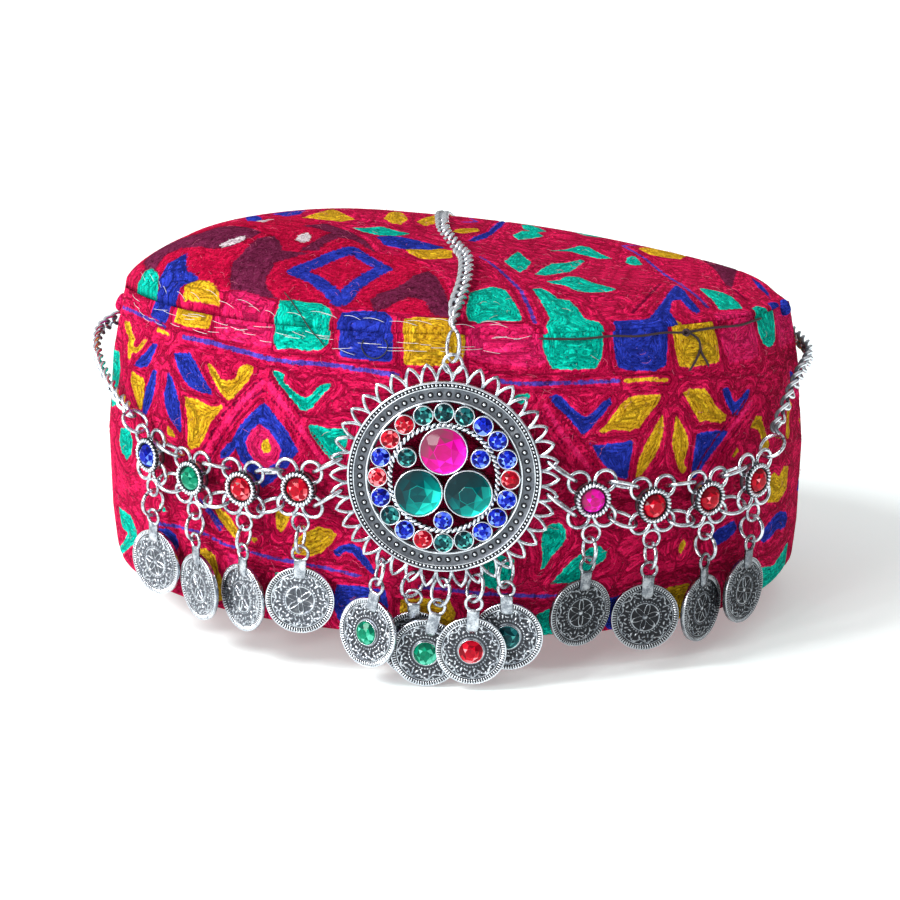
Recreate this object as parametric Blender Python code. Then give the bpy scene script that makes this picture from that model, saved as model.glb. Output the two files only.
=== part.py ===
# Embroidered cloth cap with a chain headpiece laid over it.
# Metres, +Z up. The origin is the centre of the head opening at the rim's height, -Y is the front
# and +X is the wearer's left, which a viewer in front sees on the right.
import math

import bmesh
import bpy
from mathutils import Matrix, Vector

for old in list(bpy.data.objects):
    bpy.data.objects.remove(old, do_unlink=True)

mm = 0.001
up = Vector((0, 0, 1))

# Cloth cap. Each section row: height, half width, half depth of the outer face.
cloth = 2.5 * mm
sideHeight = 78 * mm
sideSections = [
    (0 * mm, 98.5 * mm, 78.0 * mm),
    (12 * mm, 99.3 * mm, 79.6 * mm),
    (36 * mm, 99.3 * mm, 80.0 * mm),
    (60 * mm, 97.0 * mm, 78.5 * mm),
    (78 * mm, 93.5 * mm, 75.5 * mm),
]
planSteps = 40
seamGap = 0.3 * mm
foldAtRim, foldAtSeam = 1.2 * mm, 2.4 * mm
# How much shorter the oval is towards +X than towards -X.
endTrim = 2.6 * mm
rimLift = 5 * mm
# Places where the top seam sags. Each row: angle from the front in degrees, width in degrees, depth.
seamSags = [(-90, 13, 9 * mm), (95, 34, 5 * mm), (142, 26, 3 * mm)]
crownRise = 8.5 * mm
crownTilt = 6 * mm
crownSteps = [1.0, 0.93, 0.82, 0.66, 0.46, 0.24, 0.04]
crownInnerSteps = [1.0, 0.85, 0.5, 0.06]
# Low swellings and hollows of the crown. Each row: x, y, radius, height.
crownSwells = [
    (-62 * mm, -30 * mm, 26 * mm, 7.0 * mm),
    (-30 * mm, 10 * mm, 40 * mm, 5.0 * mm),
    (25 * mm, 20 * mm, 34 * mm, -3.0 * mm),
    (60 * mm, 10 * mm, 34 * mm, -3.0 * mm),
]

# Wire, rings and clearances of the headpiece.
wire = 1.0 * mm
play = 0.5 * mm
ringSides, wireSides = 10, 5
hangOff = 4.2 * mm

# Medallion.
medallionArc = 9.0 * mm
medallionHeight = 44.1 * mm
medallionOff = 2.7 * mm
medallionLean = math.radians(4)
plateThick = 1.0 * mm
bandInner, bandOuter, bandHeight = 18.8 * mm, 24.2 * mm, 1.7 * mm
ropeInner, ropeOuter = 12.7 * mm, 14.1 * mm
petalCount = 40
petalTip = 28.3 * mm
petalHole = 26.05 * mm
stoneRingCount, stoneRingRadius, smallStone = 20, 16.4 * mm, 2.5 * mm
bigStoneRadius, bigStone = 7.1 * mm, 6.0 * mm
midStoneRadius = 10.5 * mm
# Girdle and table heights of the cut stones above the plate's middle.
smallGirdle, smallRise = 1.5 * mm, 0.9 * mm
bigGirdle, bigRise = 1.9 * mm, 1.6 * mm
# Radius of a cut stone's flat table as a share of the stone's.
tableShare = 0.52
# Pointed opening of each petal: radius, and angle from the petal's middle in radians.
petalOpening = [(24.4 * mm, 0), (26.0 * mm, -0.06), (27.6 * mm, 0), (26.0 * mm, 0.06)]
petalValley = 26.3 * mm
ropeHeight = 0.4 * mm
loopDegrees, loopRadius = 86, 28.3 * mm
loopOuter, loopHole = 2.8 * mm, 1.9 * mm
topRingWide, topRingLong = 2.7 * mm, 3.9 * mm
topRingLean, topRingTurn = 20, 36

# Flower links, outwards from the medallion. Each row: height of the centre, stone.
flowerPitch = 16.4 * mm
firstFlower = 37.0 * mm
linkTilt, linkWide = 20, 3.2 * mm
flowers = {
    "left": [(39.2 * mm, "red"), (37.2 * mm, "red"), (37.3 * mm, "teal"), (40.3 * mm, "blue")],
    "right": [(37.9 * mm, "pink"), (34.9 * mm, "red"), (34.6 * mm, "red"), (36.4 * mm, "red")],
}
petalX, petalZ, petalOuter, petalInner = 3.4 * mm, 4.5 * mm, 3.3 * mm, 2.2 * mm
petalSides = 8
eyeDrop, eyeOuter, eyeInner = 9.0 * mm, 2.7 * mm, 1.8 * mm
bezel, bezelBack, bezelFront = 4.4 * mm, 1.3 * mm, 1.5 * mm
flowerStone, flowerStoneRise = 3.2 * mm, 1.4 * mm
flowerStoneBase = 0.5 * mm

# Coin pendants.
coinRadius, coinThick, coinSides = 8.9 * mm, 1.2 * mm, 20
bailRise, bailOuter, bailHole, bailThick = 12.8 * mm, 2.45 * mm, 1.6 * mm, 0.9 * mm
tabWidth, tabLength = 3.1 * mm, 4.8 * mm
coinStone, coinStoneRise = 3.1 * mm, 1.3 * mm
coinStoneBase = 0.5 * mm
tabPoint = 1.2 * mm
dropRing = 3.45 * mm
# Each row: the coin's turn away from the front, its swing to the right and its ring's turn.
sideCoins = {
    "coin_left_1": (-16, -2, -6),
    "coin_left_2": (20, -5, -4),
    "coin_left_3": (16, 0, -4),
    "coin_left_4": (-6, -2, -3),
    "coin_right_1": (16, -6, 10),
    "coin_right_2": (-12, -3, -4),
    "coin_right_3": (20, 0, 10),
    "coin_right_4": (8, -5, 5),
}
# Coins under the medallion. Each row: name, its petal's angle from straight down, its swing to the
# right, its turn to the left, how far it comes out in front, and its stone.
medallionCoins = [
    ("coin_medallion_1", -36, -12, 34, 1.2 * mm, "green"),
    ("coin_medallion_2", -18, 2, 0, -1.9 * mm, "blue"),
    ("coin_medallion_3", 0, -13, 0, 1.3 * mm, "green"),
    ("coin_medallion_4", 18, -3, 0, 3.3 * mm, "red"),
    ("coin_medallion_5", 36, 2, 0, 0.0 * mm, "teal"),
]
pointedTabs = ["coin_medallion_3", "coin_medallion_4", "coin_right_2"]

# Chains. The plain tube stands for links about 4 mm wide.
chainRadius = 1.6 * mm
# Top chain over the crown: x at each y.
topRoute = [
    (9.5 * mm, -66 * mm),
    (9.2 * mm, -50 * mm),
    (7.8 * mm, -35 * mm),
    (5.7 * mm, -22 * mm),
    (1.5 * mm, -8 * mm),
    (-4.2 * mm, 9 * mm),
    (-7.3 * mm, 26 * mm),
    (-10.0 * mm, 45 * mm),
    (-11.5 * mm, 64 * mm),
]
# The ring at the back: angle from the front, height of the side chain there, the ring's radius and
# its centre above the side chain.
backAngle = 187.0
backHeight = 64 * mm
backRing = 3.6 * mm
backRingRise = 0.4 * mm
# How far the top chain's tube stands off the crown, and its height above the seam at the back.
chainLift = 0.9 * mm
chainOverEdge = 1.0 * mm
# Side chain round the back: angle from the front in degrees, height, distance out from the wall.
sideRoute = [
    (-52.0, 50.0 * mm, 4.6 * mm),
    (-58.0, 52.0 * mm, 3.8 * mm),
    (-66.0, 54.0 * mm, 3.4 * mm),
    (-75.0, 56.3 * mm, 4.0 * mm),
    (-84.0, 58.5 * mm, 5.6 * mm),
    (-92.0, 60.0 * mm, 6.6 * mm),
    (-101.0, 61.0 * mm, 5.4 * mm),
    (-112.0, 62.0 * mm, 3.2 * mm),
    (-128.0, 63.0 * mm, 2.5 * mm),
    (-145.0, 63.6 * mm, 2.5 * mm),
    (-158.0, 64.0 * mm, 2.8 * mm),
    (-173.0, 64.0 * mm, 3.9 * mm),
    (-188.0, 63.8 * mm, 2.8 * mm),
    (-215.0, 63.0 * mm, 2.5 * mm),
    (-235.0, 62.0 * mm, 2.5 * mm),
    (-250.0, 61.0 * mm, 2.7 * mm),
    (-260.0, 60.2 * mm, 3.3 * mm),
    (-270.0, 59.3 * mm, 4.8 * mm),
    (-280.0, 57.2 * mm, 3.4 * mm),
    (-287.0, 53.8 * mm, 2.9 * mm),
    (-291.0, 50.2 * mm, 2.9 * mm),
    (-295.0, 46.5 * mm, 3.0 * mm),
]
chainStep = 9.5 * mm


def material(name, colour, roughness, metallic):
    made = bpy.data.materials.new(name)
    made.use_nodes = True
    shader = made.node_tree.nodes["Principled BSDF"]
    shader.inputs["Base Color"].default_value = (*colour, 1)
    shader.inputs["Roughness"].default_value = roughness
    shader.inputs["Metallic"].default_value = metallic
    return made


silver = material("antique silver", (0.55, 0.55, 0.56), 0.35, 1)
wool = material("crimson wool", (0.6, 0.01, 0.08), 0.9, 0)
stones = {
    "blue": material("blue stone", (0.02, 0.05, 0.6), 0.1, 0),
    "teal": material("teal stone", (0.0, 0.25, 0.22), 0.1, 0),
    "green": material("green stone", (0.0, 0.5, 0.25), 0.1, 0),
    "red": material("red stone", (0.7, 0.01, 0.02), 0.1, 0),
    "pink": material("pink stone", (0.8, 0.02, 0.35), 0.1, 0),
}


# One closed mesh through rings of points. A loop joins the last ring to the first, and anything
# else is closed by a flat face at each end.
def skin(name, rings, loop=False):
    shape = bmesh.new()
    rows = [[shape.verts.new(point) for point in ring] for ring in rings]
    count = len(rings[0])
    pairs = list(zip(rows, rows[1:]))
    if loop:
        pairs.append((rows[-1], rows[0]))
    else:
        shape.faces.new(rows[0])
        shape.faces.new(rows[-1])
    for low, high in pairs:
        for i in range(count):
            j = (i + 1) % count
            shape.faces.new((low[i], low[j], high[j], high[i]))
    return finished(name, shape)


# A flat plate in XZ between two depths along Y. The first outline is its edge, the others are holes.
def plate(name, outlines, back, front):
    shape = bmesh.new()
    for outline in outlines:
        corners = [shape.verts.new((x, back, z)) for x, z in outline]
        for i, corner in enumerate(corners):
            shape.edges.new((corner, corners[i - 1]))
    bmesh.ops.triangle_fill(shape, edges=shape.edges[:], use_beauty=True)
    grown = bmesh.ops.extrude_face_region(shape, geom=shape.faces[:])
    moved = [part for part in grown["geom"] if isinstance(part, bmesh.types.BMVert)]
    bmesh.ops.translate(shape, verts=moved, vec=(0, front - back, 0))
    return finished(name, shape)


def finished(name, shape):
    bmesh.ops.recalc_face_normals(shape, faces=shape.faces[:])
    mesh = bpy.data.meshes.new(name)
    shape.to_mesh(mesh)
    shape.free()
    return mesh


# Points of a circle in XZ, as (x, z), with a corner at the turn angle.
def circle(radius, sides, centre=(0, 0), turn=0.0):
    angles = [turn + 2 * math.pi * i / sides for i in range(sides)]
    return [(centre[0] + radius * math.cos(a), centre[1] + radius * math.sin(a)) for a in angles]


# A shape turned about the Y axis through the centre. Each profile row: radius, y.
def turned(name, profile, sides, centre=(0, 0), turn=0.0):
    rings = [[(x, y, z) for x, z in circle(radius, sides, centre, turn)] for radius, y in profile]
    return skin(name, rings)


# A cut stone: its setting from the back to the girdle, sloping facets, and a flat table in front.
def cutStone(name, radius, back, girdle, rise, sides, centre=(0, 0), turn=0.0):
    profile = [(radius, back), (radius, girdle), (radius * tableShare, girdle - rise)]
    return turned(name, profile, sides, centre, turn)


# A round or oval ring of wire in the XZ plane, with half sizes measured to the wire's centre. It
# has a corner at each end of its Z direction, where other pieces hook in.
def wireRing(name, halfX, halfZ):
    rings = []
    for i in range(ringSides):
        angle = 2 * math.pi * i / ringSides
        outward = Vector((math.sin(angle), 0, math.cos(angle)))
        middle = Vector((halfX * outward.x, 0, halfZ * outward.z))
        section = []
        for j in range(wireSides):
            turn = 2 * math.pi * j / wireSides
            across = outward * math.cos(turn) + Vector((0, 1, 0)) * math.sin(turn)
            section.append(middle + across * wire / 2)
        rings.append(section)
    return skin(name, rings, loop=True)


# One body from overlapping shapes, by an exact union.
def fused(name, shapes):
    objects = [bpy.data.objects.new(shape.name, shape) for shape in shapes]
    others = bpy.data.collections.new(name + " shapes")
    bpy.context.scene.collection.children.link(others)
    bpy.context.scene.collection.objects.link(objects[0])
    for other in objects[1:]:
        others.objects.link(other)
    union = objects[0].modifiers.new("union", "BOOLEAN")
    union.operation = "UNION"
    union.operand_type = "COLLECTION"
    union.collection = others
    union.solver = "EXACT"
    whole = objects[0].evaluated_get(bpy.context.evaluated_depsgraph_get())
    mesh = bpy.data.meshes.new_from_object(whole)
    mesh.name = name
    for one in objects:
        bpy.data.objects.remove(one, do_unlink=True)
    bpy.data.collections.remove(others)
    return mesh


# Gives the faces in front of a depth the second material slot, which each object fills.
def markStones(mesh, inside):
    mesh.materials.clear()
    mesh.materials.append(silver)
    mesh.materials.append(stones["blue"])
    for face in mesh.polygons:
        face.material_index = 1 if inside(face.center) else 0


def place(name, mesh, matrix=None, stone=None):
    if not mesh.materials:
        mesh.materials.append(silver)
    piece = bpy.data.objects.new(name, mesh)
    bpy.context.scene.collection.objects.link(piece)
    if matrix:
        piece.matrix_world = matrix
    if stone:
        piece.material_slots[1].link = "OBJECT"
        piece.material_slots[1].material = stones[stone]
    return piece


# A frame from its origin, roughly its X direction, and its Z direction.
def frameAt(origin, nearX, alongZ):
    z = alongZ.normalized()
    y = z.cross(nearX).normalized()
    x = y.cross(z)
    return Matrix.Translation(origin) @ Matrix((x, y, z)).transposed().to_4x4()


def between(table, key, column):
    for low, high in zip(table, table[1:]):
        if key <= high[0]:
            break
    share = (key - low[0]) / (high[0] - low[0])
    return low[column] + share * (high[column] - low[column])


# Bell of height 1 around an angle, for the folds and sags of the plan.
def bell(degrees, centre, width):
    away = (degrees - centre + 180) % 360 - 180
    return math.exp(-((away / width) ** 2))


def seamHeight(degrees):
    return sideHeight - sum(depth * bell(degrees, at, wide) for at, wide, depth in seamSags)


# How far the oval's +X end is drawn in at an angle.
def trimAt(degrees):
    return endTrim * max(0.0, math.sin(math.radians(degrees))) ** 5


# A point of the side wall: the angle runs from the front towards +X, and share is 0 at the rim
# and 1 at the top seam. Inset moves it into the cloth.
def wallPoint(degrees, share, inset=0.0):
    level = share * sideHeight
    fold = foldAtRim + share * (foldAtSeam - foldAtRim)
    grow = fold * (bell(degrees, 90, 5) + bell(degrees, -90, 5)) - inset
    halfWidth = between(sideSections, level, 1) + grow
    halfDepth = between(sideSections, level, 2) - inset
    angle = math.radians(degrees)
    lift = rimLift * bell(degrees, -90, 16) * (1 - share)
    height = share * seamHeight(degrees) + lift
    x = halfWidth * math.sin(angle) - trimAt(degrees)
    return Vector((x, -halfDepth * math.cos(angle), height))


# Height of the crown's outer face over a point of the plan.
def crownHeight(x, y):
    halfWidth, halfDepth = sideSections[-1][1:]
    reach = min(1.0, math.hypot(x / halfWidth, y / halfDepth))
    degrees = math.degrees(math.atan2(x / halfWidth, -y / halfDepth))
    pillow = math.sqrt(max(0.0, 1 - reach**3.2))
    sag = (sideHeight - seamHeight(degrees)) * reach**4
    rise = (crownRise - crownTilt * x / halfWidth) * pillow
    for swellX, swellY, radius, height in crownSwells:
        away = math.hypot(x - swellX, y - swellY) / radius
        rise += height * pillow * math.exp(-(away**2))
    return sideHeight - sag + seamGap + rise


def buildCap():
    angles = [360 * i / planSteps for i in range(planSteps)]
    shares = [height / sideHeight for height, _, _ in sideSections]
    outer = [[wallPoint(a, share) for a in angles] for share in shares]
    inner = [[wallPoint(a, share, cloth) for a in angles] for share in shares]
    side = place("cap_side", skin("cap_side", outer + inner[::-1], loop=True))
    rings = []
    for inset, steps in ((0.0, crownSteps[::-1]), (cloth, crownInnerSteps)):
        for step in steps:
            ring = []
            for a in angles:
                edge = wallPoint(a, 1, inset)
                x, y = edge.x * step, edge.y * step
                flat = seamHeight(a) + seamGap
                height = crownHeight(x, y) - (inset if step < 1 else 0)
                ring.append((x, y, flat if step == 1 else height))
            rings.append(ring)
    top = place("crown_top", skin("crown_top", rings))
    for piece in (side, top):
        piece.data.materials.clear()
        piece.data.materials.append(wool)


# The plan curve on which the headpiece hangs, one row for each small step of angle: arc length
# from the front, then the point and its outward direction.
def hangCurve(distance):
    halfWidth = sideSections[2][1] + distance
    halfDepth = sideSections[2][2] + distance
    rows = []
    arc = 0.0
    for i in range(1441):
        angle = math.radians(i / 8)
        point = Vector((halfWidth * math.sin(angle), -halfDepth * math.cos(angle), 0))
        outward = Vector((math.sin(angle) / halfWidth, -math.cos(angle) / halfDepth, 0)).normalized()
        if rows:
            arc += (point - rows[-1][1]).length
        rows.append((arc, point, outward))
    return rows


def onCurve(curve, arc):
    row = min(curve, key=lambda one: abs(one[0] - abs(arc)))
    side = -1 if arc < 0 else 1
    point = Vector((row[1].x * side, row[1].y, 0))
    outward = Vector((row[2].x * side, row[2].y, 0))
    return point, outward


# Frame of a piece on the wall: X to the viewer's right along the wall, -Y outwards, Z up.
def wallFrame(curve, arc, height):
    point, outward = onCurve(curve, arc)
    return frameAt(point + up * height, up.cross(outward), up)


def flowerMesh():
    half = plateThick / 2
    shapes = [turned("bezel", [(bezel, bezelBack), (bezel, -bezelFront)], 10)]
    girdle = -bezelFront - flowerStoneBase
    shapes.append(cutStone("stone", flowerStone, 0, girdle, flowerStoneRise, 8))
    for sideways in (-1, 1):
        for upward in (-1, 1):
            middle = (sideways * petalX, upward * petalZ)
            rim = circle(petalOuter, petalSides, middle)
            hole = circle(petalInner, petalSides, middle)
            shapes.append(plate("petal", [rim, hole], half, -half))
    eye = (0, -eyeDrop)
    rims = [circle(eyeOuter, petalSides, eye), circle(eyeInner, petalSides, eye)]
    shapes.append(plate("eye", rims, half * 0.9, -half * 0.9))
    mesh = fused("flower", shapes)
    markStones(mesh, lambda c: c.y < -bezelFront - flowerStoneBase * 0.4)
    return mesh


def coinMesh(stone, pointed):
    half = coinThick / 2
    coin = turned("coin", [(coinRadius, half), (coinRadius, -half)], coinSides)
    tip = bailRise - bailOuter * 0.8
    low = tip - tabLength
    left = tabWidth / 2
    tab = [(-left, tip), (-left, low), (left, low), (left, tip)]
    if pointed:
        tab.insert(2, (0, low - tabPoint))
    front = -half - bailThick * 0.6
    loop = [circle(radius, 8, (0, bailRise)) for radius in (bailOuter, bailHole)]
    strap = plate("tab", [tab], front + bailThick, front)
    eye = plate("bail", loop, front + bailThick * 0.95, front + bailThick * 0.05)
    shapes = [coin, strap, eye]
    if stone:
        shapes.append(cutStone("stone", coinStone, 0, -half - coinStoneBase, coinStoneRise, 8))
    mesh = fused("coin", shapes)
    if stone:
        markStones(mesh, lambda c: c.y < -half - coinStoneBase * 0.6 and c.z < coinStone)
    return mesh


# The medallion's own frame has X right, Z up and its back face at half the plate's thickness.
def medallionMesh():
    half = plateThick / 2
    pitch = 2 * math.pi / petalCount

    def polar(radius, angle):
        return radius * math.cos(angle), radius * math.sin(angle)

    edge, holes = [], []
    for i in range(petalCount):
        a = math.pi / 2 + i * pitch
        edge.append(polar(petalValley, a - pitch / 2))
        edge.append(polar(petalTip, a))
        holes.append([polar(radius, a + away) for radius, away in petalOpening])
    inside = circle(bandInner, 20)
    shapes = [plate("petals", [edge, inside] + holes, half, -half)]
    band = [circle(bandOuter, 24), circle(bandInner + 0.2 * mm, 20)]
    shapes.append(plate("band", band, half * 0.9, -half - bandHeight * 0.5))
    rope = [circle(ropeOuter, 24), circle(ropeInner, 20)]
    shapes.append(plate("rope ring", rope, half * 0.8, -half - ropeHeight))
    for i in range(stoneRingCount):
        a = math.pi / 2 + 2 * math.pi * i / stoneRingCount
        spot = polar(stoneRingRadius, a)
        shapes.append(cutStone("small stone", smallStone, half * 0.7, -smallGirdle, smallRise, 8, spot, a))
    for i in range(3):
        a = math.pi / 2 + 2 * math.pi * i / 3
        spot = polar(bigStoneRadius, a)
        shapes.append(cutStone("big stone", bigStone, half * 0.75, -bigGirdle, bigRise, 12, spot, a))
        a += math.pi / 3
        spot = polar(midStoneRadius, a)
        shapes.append(cutStone("mid stone", smallStone, half * 0.65, -smallGirdle, smallRise, 8, spot, a))
    spot = polar(loopRadius, math.radians(loopDegrees))
    loop = [circle(loopOuter, 12, spot), circle(loopHole, 12, spot)]
    shapes.append(plate("loop", loop, half * 0.85, -half * 0.85))
    mesh = fused("medallion", shapes)
    markStones(mesh, lambda c: c.y < -smallGirdle and math.hypot(c.x, c.z) < bandInner)
    return mesh


# A coin and the ring it hangs by. The hook is where the ring's wire passes through the carrier's
# hole, and facing is the way the carrier faces. The swing is to the right, the turns are about the
# upright, and forward is how far the coin's eye comes out in front of the hook.
def pendant(name, mesh, hook, facing, coinTurn, swing, ringTurn, forward, stone=None):
    right = up.cross(facing).normalized()
    down = (right * math.sin(swing) - up * math.cos(swing)).normalized()
    lean = math.asin(forward / (2 * dropRing))
    drop = down * math.cos(lean) + facing * math.sin(lean)
    centre = hook + drop * dropRing
    ringFace = Matrix.Rotation(ringTurn, 3, up) @ facing
    place("ring_" + name, shared["drop ring"], frameAt(centre, ringFace, -drop))
    eye = centre + drop * dropRing + down * (bailHole - wire / 2 - play * (1 + math.sin(abs(lean)) / 2))
    face = Matrix.Rotation(coinTurn, 3, up) @ facing
    middle = eye + down * bailRise - face * (coinThick / 2 + bailThick * 0.1)
    place(name, mesh, frameAt(middle, (-down).cross(face), -down), stone)


# A ring through two holes. Each hole row: its middle, and how far from there towards the other
# hole the ring's wire runs. Tilt turns the ring's plane up from level.
def link(name, first, second, facing, tilt, widest):
    way = (second[0] - first[0]).normalized()
    start, end = first[0] + way * first[1], second[0] - way * second[1]
    halfLength = (end - start).length / 2
    across = facing * math.cos(tilt) + up * math.sin(tilt)
    ring = wireRing(name, min(halfLength, widest), halfLength)
    place(name, ring, frameAt((start + end) / 2, across, way))


shared = {}
chainEnds = {}


def buildMedallion():
    point, facing = onCurve(hangCurve(medallionOff), medallionArc)
    front = frameAt(point + up * medallionHeight, up.cross(facing), up)
    front = front @ Matrix.Rotation(-medallionLean, 4, "X")
    place("medallion", medallionMesh(), front)
    for name, petal, swing, turn, forward, stone in medallionCoins:
        mesh = coinMesh(True, name in pointedTabs)
        hook = onMedallion(front, petalHole, petal - 90)
        pendant(name, mesh, hook, facing, math.radians(-turn), math.radians(swing), 0.0, forward, stone)
    eye = onMedallion(front, loopRadius, loopDegrees)
    back = math.radians(topRingLean)
    lean = up * math.cos(back) - facing * math.sin(back)
    centre = eye + up * (loopHole - wire / 2 - play * 1.7) + lean * topRingLong
    ringFace = Matrix.Rotation(math.radians(topRingTurn), 3, up) @ facing
    ring = wireRing("medallion ring", topRingWide, topRingLong)
    place("ring_medallion", ring, frameAt(centre, ringFace, lean))
    chainEnds["top"] = centre + lean * (topRingLong + wire / 2 + play)
    return front


def onMedallion(front, radius, degrees):
    angle = math.radians(degrees)
    return front @ Vector((radius * math.cos(angle), 0, radius * math.sin(angle)))


def buildFlowers(side, sign, front):
    curve = hangCurve(hangOff)
    inPetal = petalInner * math.cos(math.pi / petalSides) - wire / 2 - play * 0.8
    holes = [(onMedallion(front, petalHole, 90 - sign * away), -0.3 * mm) for away in (81, 99)]
    for i, (height, stone) in enumerate(flowers[side]):
        number = i + 1
        arc = medallionArc + sign * (firstFlower + i * flowerPitch)
        at = wallFrame(curve, arc, height)
        facing = at.to_3x3() @ Vector((0, -1, 0))
        place(f"flower_{side}_{number}", shared["flower"], at, stone)
        coin = f"coin_{side}_{number}"
        turn, swing, ringTurn = [math.radians(angle) for angle in sideCoins[coin]]
        hook = at @ Vector((0, 0, -eyeDrop - eyeInner + wire / 2 + play))
        mesh = coinMesh(False, coin in pointedTabs)
        pendant(coin, mesh, hook, facing, sign * turn, swing, sign * ringTurn, 0.0)
        for hole, upward, word in zip(holes, (1, -1), ("upper", "lower")):
            near = at @ Vector((-sign * petalX, 0, upward * petalZ))
            tilt = math.radians(upward * (linkTilt if i else 0))
            link(f"link_{side}_{number}_{word}", hole, (near, inPetal), facing, tilt, linkWide)
        holes = [(at @ Vector((sign * petalX, 0, upward * petalZ)), inPetal) for upward in (1, -1)]
    away = (up + at.to_3x3() @ Vector((sign, 0, 0))).normalized()
    centre = holes[0][0] + away * (inPetal + dropRing)
    place(f"ring_chain_{side}", shared["drop ring"], frameAt(centre, facing, away))
    chainEnds[side] = centre + away * (dropRing + wire / 2 + play + chainRadius * 0.3)


def buildHeadpiece():
    shared["drop ring"] = wireRing("drop ring", dropRing, dropRing)
    shared["flower"] = flowerMesh()
    front = buildMedallion()
    buildFlowers("left", -1, front)
    buildFlowers("right", 1, front)


# A smooth curve through the points (Catmull-Rom), at even steps of about the given length.
def smoothRoute(points, step):
    ends = [points[0] * 2 - points[1]] + points + [points[-1] * 2 - points[-2]]
    fine = []
    for a, b, c, d in zip(ends, ends[1:], ends[2:], ends[3:]):
        for i in range(12):
            t = i / 12
            fine.append(0.5 * (2 * b + (c - a) * t + (2 * a - 5 * b + 4 * c - d) * t**2
                               + (3 * b - a - 3 * c + d) * t**3))
    fine.append(points[-1])
    arcs = [0.0]
    for a, b in zip(fine, fine[1:]):
        arcs.append(arcs[-1] + (b - a).length)
    count = max(2, round(arcs[-1] / step))
    route, k = [], 0
    for i in range(count + 1):
        want = arcs[-1] * i / count
        while k < len(arcs) - 2 and arcs[k + 1] < want:
            k += 1
        share = (want - arcs[k]) / (arcs[k + 1] - arcs[k])
        route.append(fine[k].lerp(fine[k + 1], share))
    return route


def tube(name, route, radius):
    curve = bpy.data.curves.new(name, "CURVE")
    curve.dimensions = "3D"
    curve.bevel_depth = radius
    curve.bevel_resolution = 2
    curve.use_fill_caps = True
    spline = curve.splines.new("POLY")
    spline.points.add(len(route) - 1)
    for spot, point in zip(spline.points, route):
        spot.co = (*point, 1)
    piece = bpy.data.objects.new(name, curve)
    curve.materials.append(silver)
    bpy.context.scene.collection.objects.link(piece)


# A point standing off the wall at an angle and height.
def offWall(degrees, height, distance):
    angle = math.radians(degrees)
    halfWidth = between(sideSections, height, 1)
    halfDepth = between(sideSections, height, 2)
    outward = Vector((math.sin(angle) / halfWidth, -math.cos(angle) / halfDepth, 0)).normalized()
    x = halfWidth * math.sin(angle) - trimAt(degrees)
    return Vector((x, -halfDepth * math.cos(angle), height)) + outward * distance


# A point standing off the crown, square to its slope.
def offCrown(x, y, distance):
    step = 2 * mm
    slopeX = (crownHeight(x + step, y) - crownHeight(x - step, y)) / (2 * step)
    slopeY = (crownHeight(x, y + step) - crownHeight(x, y - step)) / (2 * step)
    normal = Vector((-slopeX, -slopeY, 1)).normalized()
    return Vector((x, y, crownHeight(x, y))) + normal * distance


def buildChains():
    sides = [chainEnds["left"]] + [offWall(*row) for row in sideRoute] + [chainEnds["right"]]
    tube("chain_sides", smoothRoute(sides, chainStep), chainRadius)
    middle = offWall(backAngle, backHeight + backRingRise, backRing + wire / 2 + play)
    ring = wireRing("back ring", backRing, backRing)
    place("ring_back", ring, frameAt(middle, Vector((0, 1, 0)), up))
    top = [chainEnds["top"]] + [offCrown(x, y, chainRadius + chainLift) for x, y in topRoute]
    top.append(offWall(backAngle, sideHeight + chainOverEdge, chainRadius + chainLift))
    top.append(middle + up * (backRing + wire / 2 + play + chainRadius * 0.5))
    tube("chain_top", smoothRoute(top, chainStep), chainRadius)


buildCap()
buildHeadpiece()
buildChains()
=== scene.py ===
import math
import bmesh
import bpy
import numpy as np
from mathutils import Matrix, Vector


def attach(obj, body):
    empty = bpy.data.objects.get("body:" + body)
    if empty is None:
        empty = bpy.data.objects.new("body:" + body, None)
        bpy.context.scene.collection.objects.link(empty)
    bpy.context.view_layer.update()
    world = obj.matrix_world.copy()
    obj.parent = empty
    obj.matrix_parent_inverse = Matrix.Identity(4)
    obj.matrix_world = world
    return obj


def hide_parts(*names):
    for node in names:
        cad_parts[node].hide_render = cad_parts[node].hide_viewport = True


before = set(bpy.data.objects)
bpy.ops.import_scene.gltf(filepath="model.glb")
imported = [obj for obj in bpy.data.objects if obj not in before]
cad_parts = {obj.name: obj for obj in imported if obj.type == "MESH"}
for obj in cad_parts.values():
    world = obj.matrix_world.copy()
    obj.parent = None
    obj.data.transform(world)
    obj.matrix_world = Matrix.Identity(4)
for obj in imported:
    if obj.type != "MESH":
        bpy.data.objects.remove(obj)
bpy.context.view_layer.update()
mm = 0.001
up = Vector((0, 0, 1))
print("frame loaded")


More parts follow.
